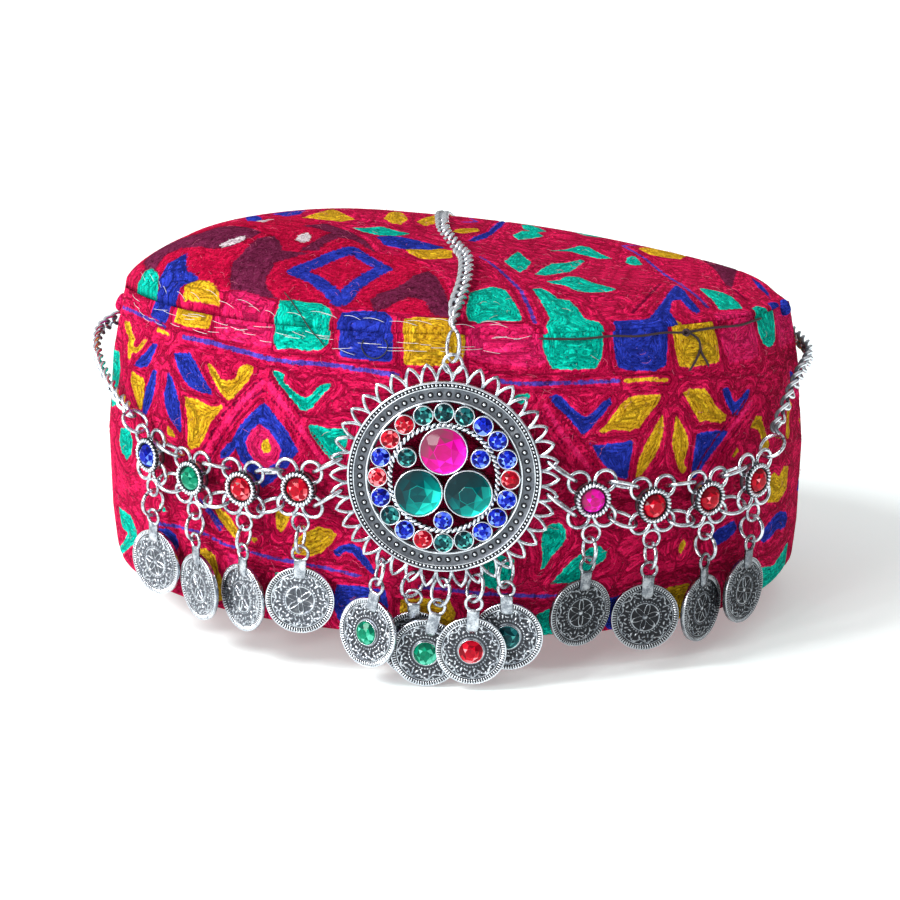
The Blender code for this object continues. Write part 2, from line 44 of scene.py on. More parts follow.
# One output socket of a material's node tree. Arithmetic on it makes Math nodes.
class Shade:
    def __init__(self, tree, socket=None):
        self.tree = tree
        self.socket = socket

    # Any node: its type, its settings, then its inputs by number or name.
    def make(self, kind, settings=None, inputs=None, out=0):
        node = self.tree.nodes.new(kind)
        for name, value in (settings or {}).items():
            if name == "stops":
                ramp = node.color_ramp
                while len(ramp.elements) < len(value):
                    ramp.elements.new(0.5)
                for element, (spot, colour) in zip(ramp.elements, value):
                    element.position = spot
                    element.color = colour if len(colour) == 4 else (*colour, 1)
            else:
                setattr(node, name, value)
        for name, value in (inputs or {}).items():
            target = node.inputs[name]
            if isinstance(value, Shade):
                self.tree.links.new(value.socket, target)
            else:
                target.default_value = value
        return Shade(self.tree, node.outputs[out])

    # Any Math node on this value.
    def math(self, operation, *others):
        inputs = dict(enumerate((self, *others)))
        return self.make("ShaderNodeMath", {"operation": operation}, inputs)

    def __add__(self, other):
        return self.math("ADD", other)

    def __sub__(self, other):
        return self.math("SUBTRACT", other)

    def __mul__(self, other):
        return self.math("MULTIPLY", other)

    def __truediv__(self, other):
        return self.math("DIVIDE", other)

    def __rsub__(self, other):
        return (self * -1).math("ADD", other)

    def __neg__(self):
        return self * -1

    def power(self, other):
        return self.math("POWER", other)

    __radd__ = __add__
    __rmul__ = __mul__

    # Smooth step from 0 at low to 1 at high.
    def step(self, low, high):
        settings = {"interpolation_type": "SMOOTHSTEP"}
        inputs = {"Value": self, "From Min": low, "From Max": high}
        return self.make("ShaderNodeMapRange", settings, inputs)

    # Blend from one colour to another by this share.
    def blend(self, first, second, kind="MIX"):
        return self.make("ShaderNodeMix", {"data_type": "RGBA", "blend_type": kind},
                         {0: self, 6: first, 7: second}, out=2)

    # Sources: noise at a place, a value of the mesh, and the object's own coordinates.
    def noise(self, place, scale, detail=2.0, rough=0.5):
        inputs = {"Vector": place, "Scale": scale, "Detail": detail, "Roughness": rough}
        return self.make("ShaderNodeTexNoise", None, inputs)

    def attribute(self, name):
        return self.make("ShaderNodeAttribute", {"attribute_name": name}, out=2)

    def objectPlace(self):
        return self.make("ShaderNodeTexCoord", out=3)


# A colour times a share, with alpha 1.
def rgba(colour, share=1.0):
    return (colour[0] * share, colour[1] * share, colour[2] * share, 1.0)


# A material with its Principled shader's constants set, and the start of its tree. In the names of
# inputs an underscore stands for a space.
def newMaterial(name, **constants):
    made = bpy.data.materials.new(name)
    made.use_nodes = True
    shader = made.node_tree.nodes["Principled BSDF"]
    for key, value in constants.items():
        shader.inputs[key.replace("_", " ")].default_value = value
    return made, shader, Shade(made.node_tree)


# Links values to a shader's inputs.
def feed(shader, **links):
    for key, value in links.items():
        value.tree.links.new(value.socket, shader.inputs[key.replace("_", " ")])


# Collects arrays into one mesh. A grid is an array (rows, columns, 3) of points. The value named
# facet belongs to faces, all others to points.
class Mesher:
    def __init__(self, *names):
        self.points, self.faces, self.slots, self.flat = [], [], [], []
        self.values = {name: [] for name in names}
        self.count = 0

    # Adds points and quads. A value is one number, or one for each point (facet: for each face).
    def add(self, points, faces, slot=0, flat=False, **values):
        points = np.asarray(points, float).reshape(-1, 3)
        faces = np.asarray(faces, int).reshape(-1, 4)
        self.points.append(points)
        self.faces.append(faces + self.count)
        self.slots.append(np.full(len(faces), slot))
        self.flat.append(np.full(len(faces), flat))
        for name, kept in self.values.items():
            value = np.asarray(values.get(name, 0.0), float)
            length = len(faces) if name == "facet" else len(points)
            kept.append(np.broadcast_to(value.reshape(-1) if value.size > 1 else value, length))
        self.count += len(points)

    # Quads between neighbouring rows and columns. A wrapped way joins its last to its first.
    def grid(self, points, wrapRows=False, wrapColumns=False, **rest):
        rows, columns = points.shape[:2]
        i = np.arange(rows if wrapRows else rows - 1)[:, None]
        j = np.arange(columns if wrapColumns else columns - 1)[None, :]
        a = i * columns + j
        b = i * columns + (j + 1) % columns
        c = (i + 1) % rows * columns + (j + 1) % columns
        d = (i + 1) % rows * columns + j
        self.add(points, np.stack(np.broadcast_arrays(a, b, c, d), -1), **rest)

    # One mesh object of everything added, given in millimetres. Doubled points at poles and seams are
    # joined, and the faces are turned outwards.
    def build(self, name, materials):
        points = np.concatenate(self.points) * mm
        faces = np.concatenate(self.faces)
        mesh = bpy.data.meshes.new(name)
        mesh.vertices.add(len(points))
        mesh.vertices.foreach_set("co", points.ravel())
        mesh.loops.add(faces.size)
        mesh.loops.foreach_set("vertex_index", faces.ravel())
        mesh.polygons.add(len(faces))
        mesh.polygons.foreach_set("loop_start", np.arange(len(faces)) * 4)
        mesh.polygons.foreach_set("material_index", np.concatenate(self.slots))
        mesh.polygons.foreach_set("use_smooth", ~np.concatenate(self.flat))
        mesh.update(calc_edges=True)
        for key, kept in self.values.items():
            layer = mesh.attributes.new(key, "FLOAT", "FACE" if key == "facet" else "POINT")
            layer.data.foreach_set("value", np.concatenate(kept))
        for material in materials:
            mesh.materials.append(material)
        shape = bmesh.new()
        shape.from_mesh(mesh)
        bmesh.ops.remove_doubles(shape, verts=shape.verts, dist=1e-7)
        bmesh.ops.recalc_face_normals(shape, faces=shape.faces)
        shape.to_mesh(mesh)
        shape.free()
        piece = bpy.data.objects.new(name, mesh)
        bpy.context.scene.collection.objects.link(piece)
        return piece


# Vectors brought to length 1.
def unit(vectors):
    return vectors / np.maximum(np.linalg.norm(vectors, axis=-1, keepdims=True), 1e-12)


# Angles in even steps round a full turn.
def turnSteps(count, first=0.0):
    return first + 2 * np.pi * np.arange(count) / count


# Points (x0 + r cos t, y, z0 + r sin t).
def aroundY(radius, t, y=0.0, centre=(0, 0)):
    x = centre[0] + radius * np.cos(t)
    return np.stack([x, np.broadcast_to(y, x.shape), centre[1] + radius * np.sin(t)], -1)


# Tube along a path: point(i, k) = path(i) + r (cos k side(i) + sin k across(i)), where side is the
# given direction made square to the path and across = way x side.
def tubeGrid(path, side, radius, sides, closed=False):
    path = np.asarray(path, float)
    if closed:
        way = np.roll(path, -1, 0) - np.roll(path, 1, 0)
    else:
        way = np.gradient(path, axis=0)
    way = unit(way)
    side = np.broadcast_to(np.asarray(side, float), path.shape)
    side = unit(side - way * (side * way).sum(-1, keepdims=True))
    across = np.cross(way, side)
    turn = turnSteps(sides)
    radius = np.broadcast_to(np.asarray(radius, float), len(path))[:, None, None]
    ring = np.cos(turn)[None, :, None] * side[:, None] + np.sin(turn)[None, :, None] * across[:, None]
    return path[:, None] + radius * ring


# A tube added to a mesh. Open ends are closed by a point in their middle.
def addTube(mesher, path, side, radius, sides=8, closed=False, **rest):
    ring = tubeGrid(path, side, radius, sides, closed)
    if not closed:
        first = np.repeat(ring[:1].mean(1, keepdims=True), sides, 1)
        last = np.repeat(ring[-1:].mean(1, keepdims=True), sides, 1)
        ring = np.concatenate([first, ring, last])
    mesher.grid(ring, wrapRows=closed, wrapColumns=True, **rest)


# Profile of (radius, y) rows turned about the Y axis through a centre in XZ.
def addTurned(mesher, profile, sides, centre=(0, 0), **rest):
    profile = np.asarray(profile, float)
    points = aroundY(profile[:, :1], turnSteps(sides), profile[:, 1:], centre)
    mesher.grid(points, wrapColumns=True, **rest)


# Beads: balls of the given radius on spots, from one small ball of rows and sides:
# (sin b cos t, -cos b, sin b sin t).
def addBeads(mesher, spots, radius, rows, sides, **rest):
    lift = np.pi * np.arange(rows + 1)[:, None] / rows
    ball = aroundY(np.sin(lift), turnSteps(sides), -np.cos(lift)).reshape(-1, 3)
    i = np.arange(rows)[:, None] * sides
    j = np.arange(sides)[None, :]
    k = (j + 1) % sides
    faces = np.stack([i + j, i + k, i + sides + k, i + sides + j], -1).reshape(-1, 4)
    faces = faces[None] + np.arange(len(spots))[:, None, None] * len(ball)
    mesher.add(spots[:, None] + radius * ball, faces, **rest)


# Everything in a mesher moved by a 4 x 4 matrix.
def moveAll(mesher, matrix):
    table = np.array(matrix)
    mesher.points = [points @ table[:3, :3].T + table[:3, 3] for points in mesher.points]
    return mesher


# Every piece rides on the one body and may stand for CAD nodes, which it hides. The slot name is not used.
def finishPiece(piece, slotName, *nodes):
    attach(piece, "root")
    if nodes:
        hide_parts(*nodes)


# Adds a camera or a lamp at a place, with its back towards a direction.
def addView(name, data, place, back):
    added = bpy.data.objects.new(name, data)
    added.location = place
    added.rotation_euler = Vector(back).to_track_quat("Z", "Y").to_euler()
    bpy.context.scene.collection.objects.link(added)
    return added


# The cap's form, as the CAD has it, in millimetres. Along the side the patterns are laid out by arc
# length on one oval, given by its half width and half depth.
capForm = {
    "cloth": 2.5, "sideHeight": 78.0, "seamGap": 0.3, "patternOval": (101.5, 80.0),
    # height, half width, half depth
    "sections": [(0, 98.5, 78.0), (12, 99.3, 79.6), (36, 99.3, 80.0), (60, 97.0, 78.5), (78, 93.5, 75.5)],
    "foldAtRim": 1.2, "foldAtSeam": 2.4, "rimLift": 5.0, "endTrim": 2.6,
    # angle from the front in degrees, width in degrees, depth
    "sags": [(-90, 13, 9), (95, 34, 5), (142, 26, 3)],
    "crownRise": 8.5, "crownTilt": 6.0,
    # x, y, radius, height
    "swells": [(-62, -30, 26, 7), (-30, 10, 40, 5), (25, 20, 34, -3), (60, 10, 34, -3)],
}
sections = np.array(capForm["sections"], float)
topWide, topDeep = sections[-1, 1:]
ovalWide, ovalDeep = capForm["patternOval"]
sideHeight = capForm["sideHeight"]


# exp(-((angle - centre) / width)^2), the angle taken the short way round.
def bell(degrees, centre, width):
    away = (degrees - centre + 180) % 360 - 180
    return np.exp(-((away / width) ** 2))


# Side height less a bell for each sag.
def seamHeight(degrees):
    return sideHeight - sum(depth * bell(degrees, at, wide) for at, wide, depth in capForm["sags"])


# How far the oval's +X end is drawn in: trim sin^5 a.
def trimAt(degrees):
    return capForm["endTrim"] * np.maximum(0.0, np.sin(np.radians(degrees))) ** 5


# Wall point: x = half width(share) sin a - trim, y = -half depth(share) cos a,
# z = share * seam height + lift. A fold at each end adds to the half width.
def wallPoint(degrees, share, inset=0.0):
    degrees, share = np.broadcast_arrays(np.asarray(degrees, float), np.asarray(share, float))
    level = share * sideHeight
    fold = capForm["foldAtRim"] + share * (capForm["foldAtSeam"] - capForm["foldAtRim"])
    grow = fold * (bell(degrees, 90, 5) + bell(degrees, -90, 5)) - inset
    wide = np.interp(level, sections[:, 0], sections[:, 1]) + grow
    deep = np.interp(level, sections[:, 0], sections[:, 2]) - inset
    angle = np.radians(degrees)
    lift = capForm["rimLift"] * bell(degrees, -90, 16) * (1 - share)
    x = wide * np.sin(angle) - trimAt(degrees)
    return np.stack([x, -deep * np.cos(angle), share * seamHeight(degrees) + lift], -1)


# Crown: side height + gap - sag r^4 + (rise - tilt x / wide + swells) sqrt(1 - r^3.2), where r is the
# reach from the middle, and sag is how far the seam hangs below the side's height there.
def crownHeight(x, y):
    reach = np.minimum(1.0, np.hypot(x / topWide, y / topDeep))
    degrees = np.degrees(np.arctan2(x / topWide, -y / topDeep))
    pillow = np.sqrt(np.maximum(0.0, 1 - reach**3.2))
    sag = (sideHeight - seamHeight(degrees)) * reach**4
    rise = (capForm["crownRise"] - capForm["crownTilt"] * x / topWide) * pillow
    for atX, atY, radius, height in capForm["swells"]:
        rise = rise + height * pillow * np.exp(-((x - atX) ** 2 + (y - atY) ** 2) / radius**2)
    return sideHeight - sag + capForm["seamGap"] + rise


# Direction out of the oval (x / wide)^2 + (y / deep)^2 = 1, level with the rim.
def outOfOval(points):
    return unit(points * [1 / ovalWide**2, 1 / ovalDeep**2, 0])


# Arc length along the oval at each eighth of a degree from the front.
ovalAngles = np.arange(-1440, 1441) / 8
ovalSteps = np.hypot(np.diff(ovalWide * np.sin(np.radians(ovalAngles))),
                     np.diff(ovalDeep * np.cos(np.radians(ovalAngles))))
ovalArcs = np.concatenate([[0], np.cumsum(ovalSteps)])
ovalArcs -= ovalArcs[len(ovalArcs) // 2]
halfRound = ovalArcs[-1]

# The photograph's camera, in millimetres and pixels. The patterns' outlines below are pixels of it.
photo = {"place": (77.8, -562.0, 189.9), "aim": (-1.2, -0.45, 27.3), "focus": 2048.0, "size": 900}
cameraPlace = np.array(photo["place"])
view = unit(np.array(photo["aim"]) - cameraPlace)
viewRight = unit(np.cross(view, [0.0, 0.0, 1.0]))
viewUp = np.cross(viewRight, view)


# Pixel of a point: middle + focus (d . right) / (d . view) and middle - focus (d . up) / (d . view),
# where d = point - camera. The last value is d . view, the depth.
def toPixel(points):
    away = points - cameraPlace
    depth = away @ view
    middle, focus = photo["size"] / 2, photo["focus"]
    across = middle + focus * (away @ viewRight) / depth
    return np.stack([across, middle - focus * (away @ viewUp) / depth, depth], -1)


# Samples of the side that face the camera: pixel, and arc length and height on the cap.
def sideSamples():
    degrees, share = np.meshgrid(np.arange(-115, 115, 0.35), np.linspace(0, 1, 120), indexing="ij")
    points = wallPoint(degrees, share)
    along = wallPoint(degrees + 0.3, share) - wallPoint(degrees - 0.3, share)
    upward = wallPoint(degrees, np.minimum(1, share + 0.01))
    upward = upward - wallPoint(degrees, np.maximum(0, share - 0.01))
    seen = ((cameraPlace - points) * np.cross(along, upward)).sum(-1) > 0
    places = np.stack([np.interp(degrees, ovalAngles, ovalArcs), share * sideHeight], -1)
    return toPixel(points[seen])[:, :2], places[seen]


# Samples of the crown that face the camera and aren't behind its ridge: from front to back, each column
# of pixels only goes up.
def crownSamples():
    x, y = np.meshgrid(np.arange(-96, 96, 0.6), np.arange(-75, 75, 0.6), indexing="ij")
    height = crownHeight(x, y)
    points = np.stack([x, y, height], -1)
    slopes = np.gradient(height, 0.6)
    normal = np.stack([-slopes[0], -slopes[1], np.ones(x.shape)], -1)
    seen = ((cameraPlace - points) * normal).sum(-1) > 0
    seen &= np.hypot(x / (topWide + 2.9), y / topDeep) < 1
    pixels = toPixel(points[seen])
    column = np.round(pixels[:, 0])
    order = np.lexsort((pixels[:, 2], column))
    level = pixels[order, 1] - 1e4 * column[order]
    kept = np.append(True, level[1:] < np.minimum.accumulate(level)[:-1] + 0.6)
    order = order[kept]
    return pixels[order, :2], np.stack([x[seen], y[seen]], -1)[order]


# Place of each pixel on a surface: the mean of the six nearest samples weighted by 1 / (d^2 + 0.02),
# without samples more than 3 mm from the nearest.
def surfacePlaces(samples, pixels):
    away = ((samples[0][None] - np.array(pixels, float)[:, None]) ** 2).sum(-1)
    nearest = np.argpartition(away, 6, 1)[:, :6]
    near = np.take_along_axis(away, nearest, 1)
    found = samples[1][nearest]
    best = np.take_along_axis(found, near.argmin(1)[:, None, None], 1)
    weights = (np.linalg.norm(found - best, axis=2) < 3) / (near + 0.02)
    return (found * weights[..., None]).sum(1) / weights.sum(1)[:, None]


# Outlines that end at the seam run on past it. On the side, heights above the first become the second.
# On the crown, points below this row of pixels, nearer the seam than this many pixels and with more than
# the first reach move out to the second.
overrun = {"heights": (75.2, 81.0), "row": 270, "pixels": 9, "reaches": (0.85, 1.08)}


# Traced outlines laid on a surface.
def laidShapes(samples, shapes, isCrown):
    laid = {}
    seam = toPixel(wallPoint(np.arange(-89, 90, 1.0), 1.0))
    lip, past = overrun["heights"]
    least, wanted = overrun["reaches"]
    for colour, outlines in shapes.items():
        laid[colour] = []
        for outline in outlines:
            places = surfacePlaces(samples, outline)
            if isCrown:
                x, y = np.array(outline, float).T
                reach = np.hypot(places[:, 0] / topWide, places[:, 1] / topDeep)
                close = y > np.interp(x, seam[:, 0], seam[:, 1]) - overrun["pixels"]
                close &= (reach > least) & (y > overrun["row"])
                places[close] *= (wanted / reach[close])[:, None]
            else:
                places[places[:, 1] > lip, 1] = past
            laid[colour].append(places)
    return laid


# Traced threads laid on a surface: half width, then places.
def laidLines(samples, lines):
    return {colour: [(half, surfacePlaces(samples, path)) for half, path in found]
            for colour, found in lines.items()}


# Looks of the embroidery: sizes in millimetres, colours.
embroidery = {
    "rowWidth": 1.5, "stitch": 2.4, "wander": 0.42, "depth": 1.0,
    # Width and length of a strand of wool, and the gap between the fill's guide lines.
    "strand": (0.5, 1.6), "fillGap": 9.0,
    # Painted highlights on single hairs: how much of them shows, and their colour.
    "fibreGlint": (0.4, (0.90, 0.45, 0.55)),
    "ground": (0.44, 0.003, 0.046), "groundLight": (0.92, 0.014, 0.115),
    "teal": (0.0, 0.60, 0.45), "blue": (0.022, 0.042, 0.46), "blueUnder": (0.022, 0.042, 0.46),
    "yellow": (0.90, 0.47, 0.018), "pink": (1.0, 0.016, 0.145), "violet": (0.09, 0.05, 0.42),
    "maroon": (0.17, 0.014, 0.06), "red": (0.60, 0.002, 0.050), "white": (0.85, 0.70, 0.75),
    "dark": (0.20, 0.001, 0.035),
    # How dark the painted shade in the gaps between the strands is, and how light the painted highlights
    # on their crests.
    "gapShade": (0.42, 0.30, 0.36), "crestHighlight": (1.35, 1.5, 1.4),
}
colours = ["red", "maroon", "white", "blueUnder", "pink", "yellow", "teal", "blue", "violet", "dark"]
# The patterns, traced in pixels of the photograph, each outline only by its corners. Two outlines at
# the left corner cross the seam, from the side to the crown.
cornerArrow = [
    (186, 252), (187, 270), (198, 276), (197, 280), (187, 283), (180, 288), (178, 296), (176, 304),
    (170, 312), (167, 320), (164, 324), (152, 318), (150, 316), (156, 306), (160, 296), (160, 286),
    (158, 280), (163, 272), (168, 263), (178, 257),
]
cornerLeaf = [
    (145, 270), (150, 268), (156, 270), (159, 276), (158, 292), (157, 300), (153, 308), (149, 309),
    (140, 303), (131, 299), (137, 289), (141, 278),
]
sideMotifs = {
    "blueUnder": [
        [(264, 402), (275, 415), (288, 433), (298, 451), (285, 470), (272, 482), (262, 488), (250, 475),
         (240, 460), (231, 440), (240, 425), (252, 412)],
    ],
    "blue": [
        cornerArrow,
        [(341, 328), (393, 332), (393, 348), (392, 362), (380, 362), (340, 357), (338, 345)],
        [(613, 338), (670, 333), (668, 352), (667, 366), (655, 371), (630, 371), (619, 368), (615, 355)],
        [(768, 303), (772, 301), (780, 301), (784, 305), (785, 320), (790, 335), (793, 348), (789, 347),
         (784, 338), (778, 325), (770, 316)],
        [(152, 343), (157, 344), (153, 355), (147, 367), (140, 368), (133, 365), (140, 357), (147, 350)],
        [(153, 369), (157, 371), (155, 385), (152, 400), (147, 412), (144, 421), (142, 418), (142, 405),
         (145, 390), (149, 378)],
        [(167, 370), (172, 378), (176, 392), (180, 405), (181, 420), (181, 435), (177, 430), (170, 420),
         (165, 408), (163, 395), (166, 383)],
        [(173, 352), (190, 353), (195, 362), (203, 378), (210, 388), (213, 395), (200, 393), (190, 388),
         (183, 380), (177, 367)],
        [(220, 452), (226, 445), (233, 440), (236, 445), (233, 452), (226, 458), (220, 459)],
        [(332, 552), (340, 545), (352, 543), (360, 548), (368, 560), (376, 572), (372, 575), (362, 565),
         (352, 553), (345, 552), (338, 558)],
        [(336, 585), (350, 585), (370, 588), (385, 590), (388, 605), (385, 625), (370, 632), (350, 628),
         (338, 620), (332, 605)],
        [(549, 398), (555, 395), (563, 396), (568, 403), (578, 413), (586, 417), (594, 412), (602, 402),
         (610, 398), (613, 402), (605, 412), (597, 422), (590, 430), (583, 436), (578, 430), (570, 420),
         (562, 412), (555, 406)],
        [(722, 389), (728, 387), (732, 395), (735, 403), (741, 398), (747, 390), (751, 388), (750, 396),
         (744, 406), (738, 415), (734, 416), (729, 408), (724, 397)],
        [(589, 443), (600, 445), (620, 442), (634, 440), (633, 452), (630, 465), (628, 480), (615, 476),
         (604, 465), (597, 455)],
        [(697, 434), (710, 431), (725, 430), (729, 432), (722, 442), (714, 452), (706, 463), (698, 475),
         (693, 482), (692, 470), (694, 455), (696, 443)],
        [(603, 600), (620, 596), (640, 593), (650, 597), (650, 615), (640, 632), (610, 635), (600, 620)],
        [(782, 560), (795, 552), (799, 560), (798, 580), (795, 588), (785, 588), (781, 575)],
        [(760, 540), (765, 528), (775, 515), (785, 508), (787, 512), (780, 525), (772, 537), (764, 543)],
        [(712, 535), (720, 528), (735, 520), (738, 530), (728, 540), (715, 547)],
        [(202, 506), (210, 508), (222, 524), (224, 530), (215, 522), (205, 512)],
        [(155, 528), (168, 529), (176, 535), (179, 545), (175, 556), (166, 548), (158, 538)],
    ],
    "teal": [
        [(160, 502), (163, 505), (167, 512), (163, 512), (159, 506)],
        cornerLeaf,
        [(277, 318), (331, 326), (331, 336), (328, 345), (322, 350), (305, 351), (290, 348), (276, 349),
         (273, 341), (274, 330)],
        [(545, 340), (604, 340), (603, 352), (600, 362), (596, 369), (570, 370), (552, 369), (547, 360),
         (543, 348)],
        [(756, 322), (768, 319), (772, 328), (777, 338), (778, 345), (770, 347), (764, 344), (760, 333)],
        [(110, 350), (119, 352), (120, 370), (117, 390), (116, 405), (111, 408)],
        [(120, 428), (129, 428), (132, 440), (131, 455), (126, 460), (121, 452), (119, 440)],
        [(271, 371), (278, 371), (284, 375), (283, 380), (290, 388), (298, 395), (304, 398), (310, 396),
         (316, 388), (322, 384), (330, 383), (332, 386), (325, 392), (318, 400), (312, 408), (307, 411),
         (300, 410), (292, 400), (286, 392), (279, 384)],
        [(307, 424), (318, 426), (330, 429), (348, 428), (346, 445), (340, 458), (330, 460), (322, 450),
         (315, 440), (309, 432)],
        [(118, 506), (122, 510), (130, 515), (133, 522), (136, 530), (138, 540), (132, 545), (127, 550),
         (120, 555), (117, 548), (124, 540), (127, 533), (122, 528), (120, 518)],
        [(275, 572), (297, 574), (298, 600), (290, 620), (278, 618), (275, 590)],
        [(480, 560), (500, 555), (515, 560), (512, 580), (495, 590), (482, 585)],
        [(790, 370), (795, 372), (796, 385), (792, 397), (788, 403), (783, 400), (787, 390), (789, 380)],
        [(543, 530), (550, 524), (560, 523), (566, 530), (566, 540), (560, 548), (553, 556), (545, 568),
         (541, 570), (543, 555), (541, 545)],
        [(550, 584), (560, 574), (570, 562), (580, 555), (590, 548), (600, 546), (607, 552), (605, 560),
         (590, 570), (580, 582), (565, 584)],
        [(536, 615), (550, 609), (562, 612), (560, 640), (545, 642), (536, 632)],
        [(750, 572), (760, 568), (775, 565), (776, 580), (772, 592), (760, 600), (750, 605), (748, 590)],
        [(515, 396), (530, 392), (531, 398), (522, 404), (514, 402)],
    ],
    "yellow": [
        [(187, 300), (219, 306), (219, 315), (212, 322), (208, 330), (198, 328), (185, 326), (174, 322),
         (178, 314)],
        [(404, 335), (466, 338), (465, 350), (462, 360), (440, 366), (404, 365), (403, 350)],
        [(672, 334), (712, 328), (718, 340), (720, 350), (720, 362), (708, 364), (690, 368), (680, 367),
         (677, 356)],
        [(124, 321), (129, 322), (131, 332), (135, 339), (132, 345), (136, 348), (144, 339), (147, 340),
         (142, 348), (137, 353), (131, 353), (129, 361), (127, 358), (127, 345), (128, 337), (125, 330)],
        [(131, 370), (136, 374), (143, 379), (144, 384), (143, 400), (141, 411), (138, 408), (134, 395),
         (130, 380)],
        [(206, 362), (210, 364), (216, 371), (220, 379), (228, 381), (236, 378), (237, 370), (244, 364),
         (252, 366), (253, 371), (247, 382), (238, 392), (233, 398), (228, 401), (221, 394), (216, 385),
         (210, 374)],
        [(184, 397), (195, 399), (205, 404), (213, 407), (221, 405), (223, 407), (215, 416), (209, 425),
         (205, 436), (198, 447), (191, 450), (187, 445), (187, 420)],
        [(167, 425), (172, 430), (176, 438), (171, 437), (167, 433)],
        [(263, 440), (268, 440), (271, 447), (270, 453), (263, 453), (260, 446)],
        [(193, 549), (205, 548), (215, 555), (218, 570), (222, 580), (223, 600), (205, 610), (196, 612),
         (193, 590), (192, 565)],
        [(212, 505), (220, 508), (228, 515), (238, 530), (238, 540), (232, 537), (226, 528), (218, 518)],
        [(275, 511), (290, 512), (289, 520), (285, 528), (279, 533), (276, 526)],
        [(292, 545), (300, 535), (318, 527), (330, 529), (337, 535), (330, 545), (322, 552), (312, 557),
         (300, 555), (292, 555)],
        [(400, 600), (420, 598), (450, 600), (456, 615), (450, 625), (420, 630), (400, 625)],
        [(630, 397), (645, 395), (660, 394), (662, 398), (655, 408), (647, 417), (640, 427), (630, 431),
         (615, 430), (602, 434), (599, 431), (607, 424), (615, 412), (622, 404)],
        [(663, 414), (664, 424), (663, 436), (659, 448), (654, 458), (647, 468), (640, 478), (636, 478),
         (638, 465), (642, 452), (648, 440), (655, 427)],
        [(677, 414), (681, 422), (687, 432), (689, 442), (687, 455), (684, 462), (687, 470), (683, 474),
         (678, 468), (675, 455), (672, 445), (674, 430)],
        [(683, 393), (690, 389), (705, 389), (710, 395), (715, 405), (722, 411), (727, 415), (726, 421),
         (720, 423), (708, 421), (700, 422), (696, 415), (690, 405)],
        [(750, 428), (757, 416), (762, 417), (764, 425), (767, 435), (770, 445), (767, 452), (761, 450),
         (762, 440), (759, 430), (753, 428)],
        [(767, 480), (775, 472), (783, 480), (790, 490), (793, 497), (780, 502), (768, 503)],
        [(654, 592), (665, 588), (690, 583), (697, 590), (690, 600), (690, 620), (672, 628), (660, 620),
         (656, 605)],
        [(786, 527), (791, 523), (790, 533), (785, 541), (782, 535)],
        [(678, 548), (684, 538), (686, 545), (681, 556)],
        [(250, 537), (257, 538), (256, 543), (252, 542)],
        [(738, 448), (739, 452), (735, 458), (732, 457)],
        [(792, 513), (797, 512), (800, 515), (795, 518)],
        [(174, 455), (178, 456), (178, 460), (174, 459)],
        [(190, 460), (194, 461), (194, 465), (190, 464)],
        [(164, 474), (168, 475), (168, 479), (164, 478)],
    ],
    "pink": [
        [(226, 553), (237, 556), (239, 572), (228, 570)],
        [(222, 308), (276, 318), (272, 345), (262, 347), (240, 343), (216, 338), (212, 325)],
        [(259, 424), (268, 430), (276, 440), (281, 450), (277, 462), (266, 468), (256, 464), (248, 452),
         (245, 441), (251, 431)],
        [(720, 334), (754, 326), (758, 340), (759, 357), (745, 360), (730, 364), (725, 350)],
        [(466, 340), (545, 342), (548, 360), (535, 368), (480, 362), (466, 356)],
        [(706, 577), (718, 576), (720, 590), (712, 600), (706, 590)],
    ],
}
# Lines of thread: half width in millimetres, then pixels.
sideThreads = {
    "violet": [
        (0.6, [(183, 337), (195, 339), (215, 344), (240, 351), (265, 358), (290, 362), (320, 364),
              (345, 367), (370, 371), (398, 376)]),
        (0.5, [(498, 381), (530, 384), (560, 383), (590, 382), (620, 381)]),
        (0.5, [(122, 308), (135, 313), (150, 319), (165, 327)]),
        (0.5, [(150, 523), (175, 526), (205, 534), (225, 545), (245, 550), (262, 556), (290, 562),
              (320, 567), (345, 573), (360, 577)]),
        (0.5, [(420, 587), (450, 590), (480, 594), (520, 596), (545, 597), (570, 596), (600, 592)]),
        (0.6, [(200, 500), (210, 515), (220, 530)]),
    ],
    "yellow": [
        (0.5, [(625, 381), (650, 379), (668, 380)]),
        (0.5, [(157, 330), (162, 332), (168, 335)]),
    ],
    "pink": [
        (0.7, [(752, 402), (738, 420), (724, 438), (712, 455), (702, 472)]),
        (0.7, [(545, 405), (560, 430), (575, 450), (590, 470)]),
        (0.8, [(262, 383), (242, 402), (225, 422), (210, 445), (204, 458)]),
        (0.8, [(268, 383), (286, 408), (304, 434), (322, 460)]),
    ],
    "dark": [
        (0.3, [(262, 378), (240, 397), (222, 415), (205, 445), (196, 458)]),
        (0.3, [(264, 390), (250, 400), (235, 418), (220, 440), (210, 458)]),
        (0.3, [(268, 378), (290, 403), (310, 430), (332, 460)]),
        (0.3, [(266, 392), (285, 415), (300, 437), (315, 458)]),
        (0.3, [(758, 404), (744, 422), (730, 440), (718, 457), (708, 474)]),
        (0.3, [(746, 400), (732, 418), (718, 436), (706, 453), (697, 470)]),
        (0.3, [(540, 410), (554, 432), (569, 452), (584, 472)]),
        (0.3, [(551, 402), (566, 428), (581, 448), (596, 468)]),
    ],
}
